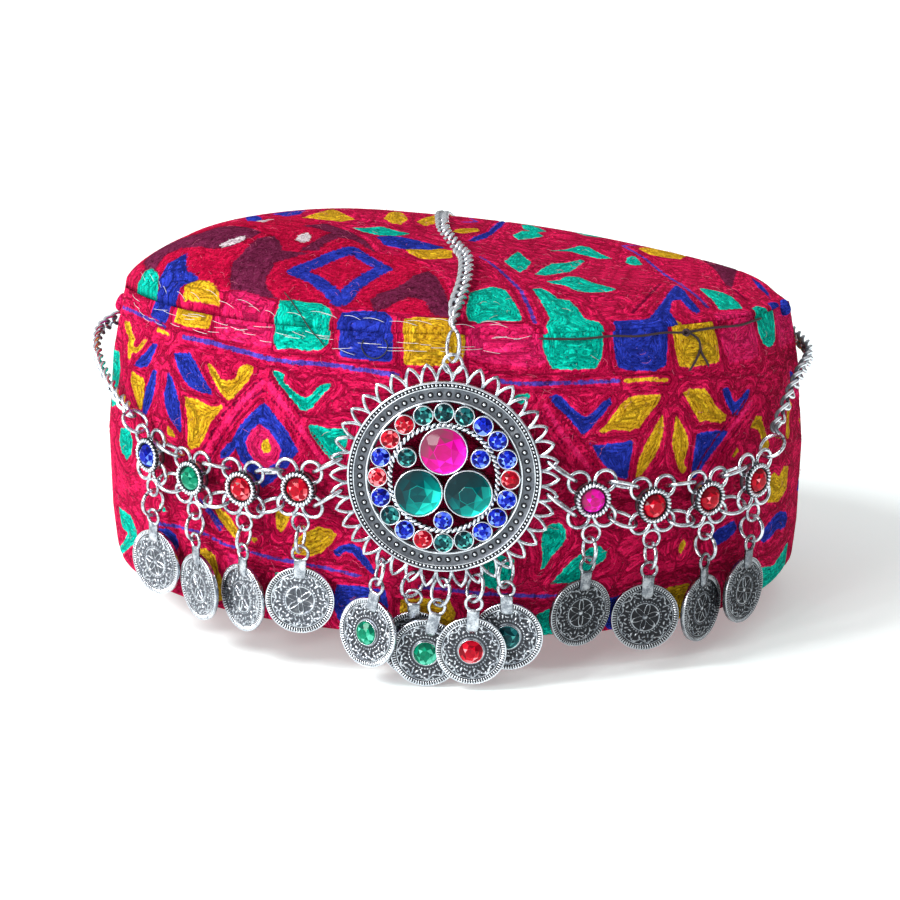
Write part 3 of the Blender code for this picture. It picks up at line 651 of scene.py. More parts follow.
crownMotifs = {
    "maroon": [
        [(143, 262), (150, 252), (175, 241), (200, 233), (222, 226), (250, 227), (262, 232), (250, 238),
         (230, 246), (215, 249), (200, 246), (180, 248), (165, 255), (160, 262), (155, 270), (146, 268)],
        [(232, 262), (240, 255), (246, 248), (258, 238), (272, 235), (280, 240), (282, 250), (300, 251),
         (310, 252), (290, 258), (275, 262), (270, 272), (265, 280), (268, 288), (275, 296), (280, 299),
         (262, 296), (245, 291), (232, 289), (229, 280)],
        [(302, 225), (325, 223), (350, 231), (366, 240), (376, 252), (370, 250), (356, 240), (340, 237),
         (326, 243), (318, 250), (300, 250), (315, 240), (330, 232), (318, 228)],
        [(395, 288), (405, 282), (415, 274), (428, 270), (438, 278), (445, 292), (450, 305), (450, 317),
         (432, 314), (425, 300), (410, 297), (398, 300), (385, 308), (375, 311), (370, 300), (380, 292)],
        [(700, 258), (715, 260), (730, 266), (738, 270), (735, 280), (732, 287), (726, 284), (720, 275),
         (712, 266)],
    ],
    "red": [
        [(138, 268), (140, 258), (160, 246), (190, 234), (215, 225), (250, 219), (300, 216), (320, 222),
         (345, 230), (365, 238), (376, 252), (400, 256), (425, 264), (445, 280), (452, 300), (452, 317),
         (430, 315), (398, 312), (362, 307), (335, 305), (322, 302), (300, 300), (275, 300), (250, 292),
         (230, 290), (218, 289), (204, 279), (190, 281), (187, 270), (186, 252), (178, 257), (168, 263),
         (163, 272), (150, 268)],
    ],
    "white": [
        [(220, 245), (228, 240), (240, 236), (247, 235), (243, 240), (232, 244), (222, 247)],
        [(296, 239), (300, 234), (306, 232), (311, 235), (310, 240), (304, 242), (298, 241)],
        [(255, 221), (265, 219), (273, 219), (265, 222)],
    ],
    "blue": [
        cornerArrow,
        [(341, 312), (362, 310), (385, 311), (393, 318), (393, 334), (340, 330)],
        [(272, 214), (290, 211), (306, 210), (300, 214), (285, 216)],
        [(245, 216), (255, 214), (262, 218), (255, 221), (246, 219)],
        [(376, 236), (390, 235), (410, 238), (430, 243), (445, 247), (430, 249), (400, 248), (385, 245)],
        [(468, 240), (475, 236), (488, 231), (498, 222), (510, 218), (498, 230), (486, 238), (474, 241)],
        [(612, 320), (640, 319), (650, 317), (655, 311), (662, 302), (670, 290), (677, 284), (684, 290),
         (690, 298), (700, 310), (697, 314), (688, 308), (680, 299), (672, 300), (670, 312), (670, 335),
         (613, 338)],
        [(768, 303), (772, 301), (780, 301), (784, 305), (785, 320), (770, 316)],
        [(751, 277), (760, 282), (768, 292), (772, 300), (764, 292), (757, 287)],
    ],
    "teal": [
        cornerLeaf,
        [(280, 299), (290, 299), (310, 302), (322, 303), (330, 308), (332, 313), (331, 330), (277, 322),
         (278, 308)],
        [(352, 227), (365, 227), (382, 226), (395, 230), (410, 233), (400, 235), (380, 235), (362, 231)],
        [(470, 292), (478, 289), (493, 286), (505, 289), (512, 298), (518, 308), (523, 320), (514, 321),
         (500, 320), (488, 320), (480, 323), (468, 320), (466, 312)],
        [(513, 235), (522, 230), (536, 231), (544, 236), (530, 238), (518, 239)],
        [(504, 261), (512, 254), (518, 250), (524, 256), (532, 262), (526, 268), (520, 272), (512, 267)],
        [(546, 250), (566, 249), (580, 245), (590, 247), (600, 253), (612, 258), (598, 258), (585, 255),
         (570, 251)],
        [(535, 274), (545, 266), (552, 263), (565, 262), (580, 259), (585, 260), (578, 266), (570, 271),
         (555, 274), (545, 275)],
        [(546, 281), (560, 279), (566, 276), (580, 277), (592, 282), (608, 286), (617, 289), (608, 291),
         (590, 292), (578, 291), (565, 285), (552, 283)],
        [(532, 288), (540, 287), (550, 292), (558, 298), (570, 300), (578, 308), (584, 318), (600, 322),
         (604, 330), (604, 342), (546, 342), (546, 325), (550, 318), (546, 310), (540, 300)],
        [(625, 262), (628, 257), (633, 255), (638, 258), (642, 264), (634, 265)],
        [(751, 308), (756, 305), (764, 306), (767, 310), (768, 322), (754, 324)],
        [(698, 287), (710, 289), (722, 292), (732, 296), (740, 304), (742, 308), (726, 309), (719, 309),
         (712, 300), (704, 293)],
    ],
    "yellow": [
        [(184, 285), (192, 281), (204, 279), (214, 284), (219, 290), (220, 306), (184, 300)],
        [(303, 217), (318, 212), (332, 209), (345, 214), (355, 219), (340, 221), (320, 219)],
        [(384, 218), (390, 212), (398, 211), (404, 214), (408, 219), (400, 224), (392, 223)],
        [(416, 221), (425, 217), (440, 214), (446, 216), (440, 222), (425, 226)],
        [(405, 249), (415, 248), (440, 248), (452, 250), (452, 257), (430, 259), (418, 257), (410, 253)],
        [(452, 231), (460, 228), (478, 228), (480, 231), (462, 233)],
        [(404, 318), (420, 316), (445, 318), (452, 320), (466, 330), (466, 342), (404, 340)],
        [(665, 322), (670, 317), (680, 318), (700, 316), (710, 317), (712, 322), (712, 334), (668, 334)],
        [(633, 244), (650, 244), (665, 248), (676, 252), (686, 256), (680, 259), (665, 257), (650, 254),
         (640, 249)],
    ],
    "pink": [
        [(229, 291), (238, 289), (255, 293), (265, 297), (275, 301), (276, 318), (222, 309), (228, 300)],
        [(468, 325), (488, 322), (514, 323), (530, 325), (545, 330), (546, 342), (468, 340)],
        [(712, 313), (725, 311), (745, 309), (750, 312), (751, 328), (716, 334)],
    ],
}
crownThreads = {
    "blue": [
        (2.3, [(341, 301), (330, 290), (316, 279), (296, 271), (318, 262), (338, 253), (352, 249),
              (364, 257), (384, 268), (366, 277), (352, 288), (344, 299)]),
    ],
    "violet": [
        (0.55, [(480, 256), (490, 262), (500, 270), (512, 281), (521, 290), (526, 300), (531, 312),
              (535, 322)]),
        (0.55, [(622, 245), (632, 250), (645, 258), (655, 266), (668, 276), (680, 283), (690, 290),
              (700, 298), (708, 307)]),
        (0.6, [(462, 222), (480, 221), (498, 222)]),
    ],
    "dark": [
        (0.5, [(724, 284), (735, 290), (748, 300)]),
        (0.5, [(632, 312), (645, 300), (655, 290), (660, 283)]),
        (0.3, [(605, 300), (620, 298), (632, 304)]),
    ],
}


# Distance to a chain of edges: the least of |p - a - t e|, t = clamp((p - a).e / e.e, 0, 1), and how
# far along the chain that place is. A closed chain also gives whether the point is inside, by the
# number of edges that a ray to the right crosses.
def edgeDistance(u, v, corners, closed):
    corners = np.array(corners, float)
    ends = np.roll(corners, -1, 0) if closed else corners[1:]
    starts = corners if closed else corners[:-1]
    best = np.full(len(u), 1e9)
    along = np.zeros(len(u))
    inside = np.zeros(len(u), bool)
    run = 0.0
    for (ax, ay), (bx, by) in zip(starts, ends):
        ex, ey = bx - ax, by - ay
        length = max(math.hypot(ex, ey), 1e-6)
        share = np.clip(((u - ax) * ex + (v - ay) * ey) / length**2, 0, 1)
        away = np.hypot(u - ax - share * ex, v - ay - share * ey)
        nearer = away < best
        best = np.where(nearer, away, best)
        along = np.where(nearer, run + share * length, along)
        if closed and ay != by:
            crosses = (ay > v) != (by > v)
            inside ^= crosses & (u < ax + (v - ay) / ey * ex)
        run += length
    return best, along, inside


# The fields of a surface: a signed distance for each colour, and the distance across and along rows.
# Away from outlines the rows follow wavy guide lines v + 3 sin(u / 19) + 1.5 sin(u / 7 + v / 11) = k gap.
def embroideryFields(u, v, shapes, lines):
    u, v = u.ravel(), v.ravel()
    fields = {colour: np.full(len(u), -3.0) for colour in colours}
    across = np.full(len(u), 30.0)
    along = u.copy()
    rows = [(colour, 0.0, corners, True) for colour, found in shapes.items() for corners in found]
    rows += [(colour, half, corners, False) for colour, found in lines.items() for half, corners in found]
    for colour, half, corners, closed in rows:
        low, high = np.min(corners, 0) - 30, np.max(corners, 0) + 30
        near = (u > low[0]) & (u < high[0]) & (v > low[1]) & (v < high[1])
        if not near.any():
            continue
        away, run, inside = edgeDistance(u[near], v[near], corners, closed)
        signed = np.where(inside, away, -away) + half
        fields[colour][near] = np.maximum(fields[colour][near], np.clip(signed, -3, 3))
        outline = np.abs(away - half)
        closer = outline < across[near]
        spots = np.flatnonzero(near)[closer]
        across[spots] = outline[closer]
        along[spots] = run[closer]
    fill = v + 3 * np.sin(u / 19) + 1.5 * np.sin(u / 7 + v / 11)
    gap = embroidery["fillGap"]
    guide = 2.2 + np.abs(fill / gap % 1 - 0.5) * gap
    along = np.where(guide < across, u, along)
    across = np.minimum(across, guide)
    fields["rowAcross"] = across
    fields["rowAlong"] = along
    return fields


# Wool thread in chain-stitch rows. Across a row the two strands stand up as 1 - (4|q| - 1)^2, with q
# from -0.5 to 0.5, and along it each loop narrows to a gap. The pile of the crown has no rows.
def woolMaterial():
    made, shader, start = newMaterial("embroidered wool", Roughness=0.95, Specular_IOR_Level=0.03)
    place = start.objectPlace()
    wander = embroidery["wander"]
    broad = (start.noise(place, 230, 2) - 0.5) * (wander * 4)
    fine = (start.noise(place, 1300, 2) - 0.5) * (wander * 1.3)
    row = (start.attribute("rowAcross") + broad + fine) / embroidery["rowWidth"]
    q = row.math("FRACT") - 0.5
    number = row.math("FLOOR")
    run = (start.attribute("rowAlong") + broad * 1.5) / embroidery["stitch"]
    run = run + (number * 0.618).math("FRACT")
    slant = run + q.math("ABSOLUTE") * 1.1
    s = slant.math("FRACT") - 0.5
    cell = start.make("ShaderNodeCombineXYZ", None, {0: number, 1: slant.math("FLOOR"), 2: q.math("SIGN")})
    chance = start.make("ShaderNodeTexWhiteNoise", None, {"Vector": cell}, out=0)
    strand = (1.0 - (q.math("ABSOLUTE") * 4 - 1).power(2.0)).math("MAXIMUM", 0.0)
    loop = 1.0 - (s * 2).math("ABSOLUTE").power(2.2)
    raised = strand.power(0.6) * (loop * 0.75 + 0.25) * (chance * 0.35 + 0.75)
    # Single strands of wool: noise drawn out along the rows.
    wide, long = embroidery["strand"]
    drawn = {0: (start.attribute("rowAcross") + broad + fine) / wide,
             1: start.attribute("rowAlong") / long, 2: chance * 0.8}
    strands = start.noise(start.make("ShaderNodeCombineXYZ", None, drawn), 1, 3, 0.66)
    fibre = start.noise(place, 4200, 3, 0.7)
    coarse = start.noise(place, 1700, 3, 0.65)
    velvet = start.noise(place, 750, 4, 0.75)
    pile = start.attribute("red").math("MAXIMUM", start.attribute("maroon"))
    pile = pile.math("MAXIMUM", start.attribute("white")).step(-0.2, 0.5)
    # The stitched rows' height, or the pile's.
    height = (1.0 - pile) * (strands * 1.5 + raised * 0.35 + fibre * 0.35)
    height = height + pile * (velvet + coarse * 0.6 + fibre * 0.5)
    lit = (strands - 0.5) * 3.0 + (raised - 0.4) * 0.34 + (coarse - 0.5) * 1.1 + 0.52
    lit = lit * (1.0 - pile) + pile * (velvet * 2.6 + coarse * 1.6 - 1.6)
    patch = start.noise(place, 90, 2)
    light = (chance * 0.55 + patch * 0.55 + coarse * 0.35).step(0.45, 1.05)
    shade = light.blend(rgba(embroidery["ground"]), rgba(embroidery["groundLight"]))
    edge = fine * 1.2 + (start.noise(place, 620, 1) - 0.5) * 0.7 + (velvet - 0.5) * pile * 3
    for colour in colours:
        inside = (start.attribute(colour) + edge).step(-0.12, 0.14)
        deep = rgba([channel * 0.72 for channel in embroidery[colour]])
        pale = rgba([min(1, 0.004 + channel * 1.25) for channel in embroidery[colour]])
        shade = inside.blend(shade, light.blend(deep, pale))
    # Painted shade in the gaps, where the stitch is little lit, and painted highlights on its crests.
    multiply = {"data_type": "RGBA", "blend_type": "MULTIPLY"}
    gapShade, crestHighlight = [
        start.make("ShaderNodeMix", multiply, {0: 1.0, 6: shade, 7: rgba(embroidery[part])}, out=2)
        for part in ("gapShade", "crestHighlight")
    ]
    shade = lit.step(0.02, 0.55).blend(gapShade, shade)
    shade = lit.step(0.6, 1.1).blend(shade, crestHighlight)
    # Pale specks of painted highlight on single hairs.
    fibreGlints = start.noise(place, 1900, 2, 0.7).step(0.66, 0.76) * embroidery["fibreGlint"][0]
    feed(shader, Base_Color=fibreGlints.blend(shade, rgba(embroidery["fibreGlint"][1])))
    bump = start.make("ShaderNodeBump", None,
                      {"Strength": 1.0, "Distance": embroidery["depth"] * mm, "Height": height})
    feed(shader, Normal=bump)
    return made


capMesh = {"frontStep": 0.75, "backStep": 1.5, "rows": 104, "crownColumns": 260, "crownRows": 210,
           "groove": 0.3, "pucker": 0.5,
           # Arc lengths between which the front's pattern is used again, back and forth, round the back,
           # and the y at which the crown's pattern is mirrored.
           "repeat": (50, 117), "mirror": 46}
wool = woolMaterial()


# Wool surface a little sunk along the pattern's outlines: -groove (1 - d / 0.6) for d below 0.6.
def grooves(fields, shape):
    away = fields["rowAcross"].reshape(shape)
    return -capMesh["groove"] * np.clip(1 - away / 0.6, 0, 1)


# The side: wallPoint over arcs and shares of the height, moved outwards by the grooves, less 0.2 at rim
# and seam, and by puckers 0.35 sin(arc / 3.1) that grow over the top quarter. Behind it is the inside.
def buildCapSide():
    front = np.arange(-halfRound / 2 - 6, halfRound / 2 + 6, capMesh["frontStep"])
    back = np.arange(front[-1] + capMesh["backStep"], front[0] + 2 * halfRound, capMesh["backStep"])
    arcs = np.concatenate([front, back])
    arcs = np.where(arcs > halfRound, arcs - 2 * halfRound, arcs)
    degrees = np.interp(arcs, ovalArcs, ovalAngles)
    shares = np.linspace(0, 1, capMesh["rows"])
    grid = wallPoint(degrees[None, :], shares[:, None])
    first, last = capMesh["repeat"]
    beyond = (np.abs(arcs) - last) % (2 * (last - first))
    folded = np.sign(arcs) * (last - np.minimum(beyond, 2 * (last - first) - beyond))
    folded = np.where(np.abs(arcs) > last, folded, arcs)
    u, v = np.broadcast_arrays(folded[None, :], shares[:, None] * sideHeight)
    samples = sideSamples()
    shapes, lines = laidShapes(samples, sideMotifs, False), laidLines(samples, sideThreads)
    fields = embroideryFields(u, v, shapes, lines)
    edge = np.clip(1 - (1 - v / sideHeight) / 0.015, 0, 1) + np.clip(1 - v / 1.2, 0, 1)
    swing = grooves(fields, u.shape) - edge * 0.2
    pucker = 0.35 * np.sin(arcs / 3.1)[None, :] * np.clip(v / sideHeight - 0.75, 0, 1) * 4
    swing = swing + pucker * capMesh["pucker"]
    grid = grid + outOfOval(grid) * swing[..., None]
    grid[-1, :, 2] += capForm["seamGap"] + 0.1
    inner = wallPoint(degrees[None, :], np.linspace(1, 0, 7)[:, None], capForm["cloth"])
    rows = np.concatenate([grid, inner])
    values = {}
    for name, field in fields.items():
        fill = 20.0 if name.startswith("row") else -3.0
        extra = np.full(inner.shape[:2], fill)
        if name == "rowAlong":
            extra = np.broadcast_to(arcs, inner.shape[:2])
        values[name] = np.concatenate([field.reshape(u.shape), extra])
    mesher = Mesher(*fields)
    mesher.grid(rows, wrapRows=True, wrapColumns=True, **values)
    return mesher.build("capSide", [wool])


# Where the crown ends: the side's upper edge, 0.35 mm inside its face.
def crownEdge(degrees):
    return wallPoint(degrees, 1.0, 0.35)


# Disc grid: x = s sqrt(1 - t^2 / 2), y = t sqrt(1 - s^2 / 2), with s and t from -1 to 1.
def buildCrown():
    columns, rows = (np.linspace(-1, 1, capMesh[key]) for key in ("crownColumns", "crownRows"))
    s, t = np.meshgrid(columns, rows, indexing="ij")
    discX, discY = s * np.sqrt(1 - t**2 / 2), t * np.sqrt(1 - s**2 / 2)
    reach = np.hypot(discX, discY)
    degrees = np.degrees(np.arctan2(discX, -discY))
    edge = crownEdge(degrees)
    x, y = edge[..., 0] * reach, edge[..., 1] * reach
    rim = seamHeight(degrees) + capForm["seamGap"]
    height = np.where(reach > 0.9999, rim, np.maximum(crownHeight(x, y), rim - 12))
    mirror = capMesh["mirror"]
    v = np.where(y > mirror, 2 * mirror - y, y)
    samples = crownSamples()
    shapes, lines = laidShapes(samples, crownMotifs, True), laidLines(samples, crownThreads)
    fields = embroideryFields(x, v, shapes, lines)
    height = height + grooves(fields, x.shape)
    grid = np.stack([x, y, height], -1)
    values = {name: field.reshape(x.shape) for name, field in fields.items()}
    mesher = Mesher(*fields)
    mesher.grid(grid, **values)
    around = [np.s_[:-1, 0], np.s_[-1, :-1], np.s_[:0:-1, -1], np.s_[0, :0:-1]]
    loop = np.concatenate([grid[part] for part in around])
    under = [loop]
    for share in (0.985, 0.93, 0.8, 0.55, 0.25, 0.0):
        ring = loop * [share, share, 0]
        ring[:, 2] = crownHeight(ring[:, 0], ring[:, 1]) - capForm["cloth"]
        under.append(ring)
    edgeValues = {}
    for name, field in values.items():
        edge = np.concatenate([field[part] for part in around])
        edgeValues[name] = np.concatenate([edge[None], np.full((len(under) - 1, len(edge)), -3.0)])
    mesher.grid(np.array(under), wrapColumns=True, **edgeValues)
    return mesher.build("capCrown", [wool])


finishPiece(buildCapSide(), "wool", "cap_side")
finishPiece(buildCrown(), "wool", "crown_top")
print("cap made")

# Aged metal: colour away from wear, where it is rubbed and where highlights are painted, in its hollows
# and where shade is painted, and roughness.
metal = {
    "bright": (0.22, 0.24, 0.28), "wornAndHighlight": (0.76, 0.79, 0.84), "patina": (0.011, 0.012, 0.015),
    "roughness": 0.22,
}
# Each stone's painted light, from shade to glint: its dull side, its depth, its lit side and its painted
# glints.
stoneColours = {
    "blue": ((0.0, 0.0, 0.05), (0.0, 0.003, 0.20), (0.005, 0.022, 0.50), (0.20, 0.36, 1.0)),
    "teal": ((0.0, 0.008, 0.012), (0.0, 0.022, 0.028), (0.006, 0.09, 0.10), (0.10, 0.55, 0.50)),
    "green": ((0.0, 0.05, 0.03), (0.0, 0.11, 0.058), (0.002, 0.23, 0.12), (0.12, 0.62, 0.44)),
    "sea": ((0.006, 0.020, 0.024), (0.0, 0.045, 0.052), (0.0, 0.24, 0.21), (0.02, 0.95, 0.78)),
    "red": ((0.10, 0.0, 0.004), (0.22, 0.0, 0.008), (0.52, 0.001, 0.014), (1.0, 0.30, 0.34)),
    "pink": ((0.15, 0.03, 0.06), (0.36, 0.004, 0.11), (0.60, 0.003, 0.30), (0.95, 0.02, 0.75)),
}


# Aged white metal: dark where the patina and painted light value is high, for patina in its hollows and
# for painted shade; mottled; brighter where rubbed, and where that value is below zero for painted
# highlights.
def silverMaterial(name, darker):
    made, shader, start = newMaterial(name, Specular_IOR_Level=0.2)
    place = start.objectPlace()
    mottle = start.noise(place, 420, 3, 0.6)
    fine = start.noise(place, 2600, 2, 0.6)
    rubbedAndHighlit = (mottle * 0.7 + fine * 0.4 - start.attribute("patina") * 0.35).step(0.36, 0.62)
    bright = rubbedAndHighlit.blend(rgba(metal["bright"], darker), rgba(metal["wornAndHighlight"], darker))
    dark = (start.attribute("patina") + (fine - 0.5) * 0.5).step(0.15, 0.95)
    feed(shader, Base_Color=dark.blend(bright, rgba(metal["patina"])), Metallic=1.0 - dark * 0.85)
    feed(shader, Roughness=mottle * 0.18 + metal["roughness"] - 0.06 + dark * 0.3)
    bump = start.make("ShaderNodeBump", None, {"Strength": 0.35, "Distance": 0.08 * mm, "Height": fine})
    feed(shader, Normal=bump)
    return made


# Foiled glass with painted reflections: each facet's own value and a painted glow (the patina and painted
# light value) run it from dull over deep and lit to a glint, under a clear coat. The colour also glows by
# emission, painted light from a stone that is no lamp.
def stoneMaterial(name):
    dull, deep, lit, glint = stoneColours[name]
    made, shader, start = newMaterial("stone " + name, Roughness=0.2, Specular_IOR_Level=0.03,
                                      Emission_Strength=0.32, Coat_Weight=0.22, Coat_Roughness=0.02)
    stops = [(0.0, dull), (0.33, deep), (0.66, lit), (1.0, glint)]
    inputs = {0: start.attribute("facet") + start.attribute("patina")}
    shade = start.make("ShaderNodeValToRGB", {"stops": stops}, inputs)
    feed(shader, Base_Color=shade, Emission_Color=shade)
    return made


silver = silverMaterial("aged silver", 1.0)
darkSilver = silverMaterial("aged silver dark", 0.5)
jewelMaterials = [silver] + [stoneMaterial(name) for name in stoneColours]
jewelSlot = {name: i + 1 for i, name in enumerate(stoneColours)}
rng = np.random.default_rng(11)


# Cut stone: rings of 2n corners at (share of the radius, height, kind); on rings of kind 1 and 2
# neighbouring corners meet in pairs, first the even and then the odd ones, for kites and triangles.
# A facet's value is painted reflection, level + tilt cos(angle + 45 degrees) + chance: painted as if light
# that enters at the upper left shines out at the lower right. A corner's painted glow is glow share^2
# cos(angle + 45 degrees). The facets round the flat top are painted lighter, and a stone of little glow
# has one painted glint.
def addStone(mesher, colour, radius, base, rise, n, centre=(0, 0), turn=0.0, table=0.47,
             level=0.38, tilt=0.12, chance=0.75, glow=0.25):
    column = np.arange(2 * n)
    middle = (table + 1) / 2
    rings = [(1.0, base + 0.8, 0), (1.0, base, 0), (0.94, base - 0.2 * rise, 0),
             (middle, base - 0.66 * rise, 1), (table + 0.03, base - 0.96 * rise, 2),
             (table, base - rise, 2), (0.0, base - rise, 2)]
    paired = [column + 0.0, column // 2 * 2 + 0.5, (column + 1) // 2 * 2 - 0.5]
    points, shine = [], []
    for share, y, kind in rings:
        angle = turn + paired[kind] * np.pi / n
        points.append(aroundY(radius * share, angle, y, centre))
        shine.append(glow * share**2 * np.cos(angle + np.pi / 4))
    angle = turn + (column + 0.5) * np.pi / n
    facet = level + tilt * np.cos(angle + np.pi / 4) + chance * (rng.random((6, 2 * n)) - 0.5)
    facet[4] = level + 0.22
    if glow < 0.3:
        facet[3, n * 3 // 4] = 1.0
    facet[5] = level - 0.04 + chance * 0.2 * (rng.random(2 * n) - 0.5)
    mesher.grid(np.array(points), wrapColumns=True, slot=jewelSlot[colour], flat=True,
                facet=np.clip(facet, 0, 1), patina=np.array(shine))


# Two strands twisted round a circle: strand = circle + r (cos kt radial + sin kt forward). By the shade
# level each strand is painted bright where it comes forward, as wear and painted highlight, and dark where
# it turns back, as patina and painted shade.
def addRope(mesher, radius, strand, twists, depth, count, shade=0.95, sides=6):
    t = turnSteps(count)
    for phase in (0, np.pi):
        swing = twists * t + phase
        path = aroundY(radius + strand * np.cos(swing), t, depth - strand * np.sin(swing))
        patina = np.clip(shade - 1.9 * np.sin(swing), -0.7, 1)[:, None] * np.ones(sides)
        addTube(mesher, path, (0, -1, 0), strand * 0.98, sides, True, patina=patina)


# Round wire ring in XZ: a tube along (r cos t, y, r sin t).
def addRing(mesher, radius, thick, count, sides, centre=(0, 0), depth=0.0, **rest):
    path = aroundY(radius, turnSteps(count), depth, centre)
    addTube(mesher, path, (0, -1, 0), thick, sides, True, **rest)


# The layout of the headpiece, as the CAD has it, in millimetres and degrees.
layout = {
    "hangOff": 4.2, "medallionArc": 9.0, "medallionHeight": 44.1, "medallionOff": 2.7, "medallionLean": 4,
    "petalHole": 26.05, "loopDegrees": 86, "loopRadius": 28.3, "loopHole": 1.9,
    "topRing": (2.7, 3.9), "topRingLean": 20, "topRingTurn": 36,
    "flowerPitch": 16.4, "firstFlower": 37.0, "linkTilt": 20, "linkWide": 3.2,
    "petalX": 3.4, "petalZ": 4.5, "petalInner": 2.2, "eyeDrop": 9.0, "eyeInner": 1.8,
    "coinThick": 1.2, "bailRise": 12.8, "bailHole": 1.6, "bailThick": 0.9, "dropRing": 3.45,
    "wire": 1.0, "play": 0.5, "chainRadius": 1.6, "backAngle": 187, "backHeight": 64, "backRing": 3.6,
}
wire, play, dropRing = layout["wire"], layout["play"], layout["dropRing"]
# Flowers outwards from the medallion: height, stone.
flowers = {
    "left": [(39.2, "red"), (37.2, "red"), (37.3, "green"), (40.3, "blue")],
    "right": [(37.9, "pink"), (34.9, "red"), (34.6, "red"), (36.4, "red")],
}
# Coins: turn away from the front, swing to the right, ring's turn, in degrees.
sideCoins = {
    "left_1": (-16, -2, -6), "left_2": (20, -5, -4), "left_3": (16, 0, -4), "left_4": (-6, -2, -3),
    "right_1": (16, -6, 10), "right_2": (-12, -3, -4), "right_3": (20, 0, 10), "right_4": (8, -5, 5),
}
# Coins under the medallion: petal's angle, swing, turn, ring's turn, how far forward, stone.
medallionCoins = [
    (-36, -12, 34, 15, 1.2, "green"), (-18, 2, 0, -48, -1.9, "blue"), (0, -13, 0, 42, 1.3, "green"),
    (18, -3, 0, 34, 3.3, "red"), (36, 2, 0, -30, 0.0, "teal"),
]
pointedTabs = ["medallion_3", "medallion_4", "right_2"]
ringPlaces, linkPlaces, coinPlaces, flowerPlaces, chainEnds = [], [], [], [], {}


# Placing matrix: z along a direction, y = z x nearX, and x = y x z.
def frameAt(origin, nearX, alongZ):
    z = alongZ.normalized()
    y = z.cross(nearX).normalized()
    x = y.cross(z)
    placed = Matrix((x, y, z)).transposed().to_4x4()
    placed.translation = origin
    return placed


# Point and outward direction at an arc length from the front on the oval a distance off the wall.
def onCurve(distance, arc):
    angle = np.radians(np.arange(1441) / 8)
    wide, deep = sections[2, 1] + distance, sections[2, 2] + distance
    x, y = wide * np.sin(angle), -deep * np.cos(angle)
    run = np.concatenate([[0], np.cumsum(np.hypot(np.diff(x), np.diff(y)))])
    k = int(np.abs(run - abs(arc)).argmin())
    side = -1 if arc < 0 else 1
    outward = Vector((math.sin(angle[k]) / wide * side, -math.cos(angle[k]) / deep, 0)).normalized()
    return Vector((x[k] * side, y[k], 0)), outward


# Point (r cos a, 0, r sin a) of the medallion's front.
def onMedallion(front, radius, degrees):
    angle = math.radians(degrees)
    return front @ Vector((radius * math.cos(angle), 0, radius * math.sin(angle)))


# A coin and its jump ring under a hook. The ring leans forwards by asin(forward / 2 radii), and the
# coin's eye hangs at its lowest point with the play between them.
def placePendant(name, hook, facing, coinTurn, swing, ringTurn, forward, stone=None):
    right = up.cross(facing).normalized()
    down = (right * math.sin(swing) - up * math.cos(swing)).normalized()
    lean = math.asin(forward / (2 * dropRing))
    drop = down * math.cos(lean) + facing * math.sin(lean)
    centre = hook + drop * dropRing
    ringFace = Matrix.Rotation(ringTurn, 3, "Z") @ facing
    ringPlaces.append(("ring_coin_" + name, frameAt(centre, ringFace, -drop), dropRing, dropRing))
    slack = play * (1 + math.sin(abs(lean)) / 2)
    eye = centre + drop * dropRing + down * (layout["bailHole"] - wire / 2 - slack)
    face = Matrix.Rotation(coinTurn, 3, "Z") @ facing
    middle = eye + down * layout["bailRise"] - face * (layout["coinThick"] / 2 + layout["bailThick"] * 0.1)
    placed = frameAt(middle, (-down).cross(face), -down)
    coinPlaces.append(("coin_" + name, placed, stone, name in pointedTabs))


# A wire ring between two holes, each a point and how far from it the wire lies.
def placeLink(name, first, second, facing, tilt):
    way = (second[0] - first[0]).normalized()
    start, end = first[0] + way * first[1], second[0] - way * second[1]
    half = (end - start).length / 2
    across = facing * math.cos(tilt) + up * math.sin(tilt)
    linkPlaces.append((name, frameAt((start + end) / 2, across, way), min(half, layout["linkWide"]), half))


# The medallion leans back on the curve, with coins at its lower petals and a ring on its top loop.
def placeMedallion():
    point, facing = onCurve(layout["medallionOff"], layout["medallionArc"])
    front = frameAt(point + up * layout["medallionHeight"], up.cross(facing), up)
    front = front @ Matrix.Rotation(-math.radians(layout["medallionLean"]), 4, "X")
    for i, (petal, *angles, forward, stone) in enumerate(medallionCoins):
        hook = onMedallion(front, layout["petalHole"], petal - 90)
        swing, turn, ringTurn = map(math.radians, angles)
        placePendant(f"medallion_{i + 1}", hook, facing, -turn, swing, ringTurn, forward, stone)
    eye = onMedallion(front, layout["loopRadius"], layout["loopDegrees"])
    back = math.radians(layout["topRingLean"])
    lean = up * math.cos(back) - facing * math.sin(back)
    wide, high = layout["topRing"]
    centre = eye + up * (layout["loopHole"] - wire / 2 - play * 1.7) + lean * high
    ringFace = Matrix.Rotation(math.radians(layout["topRingTurn"]), 3, "Z") @ facing
    ringPlaces.append(("ring_medallion", frameAt(centre, ringFace, lean), wide, high))
    chainEnds["top"] = centre + lean * (high + wire / 2 + play)
    return front


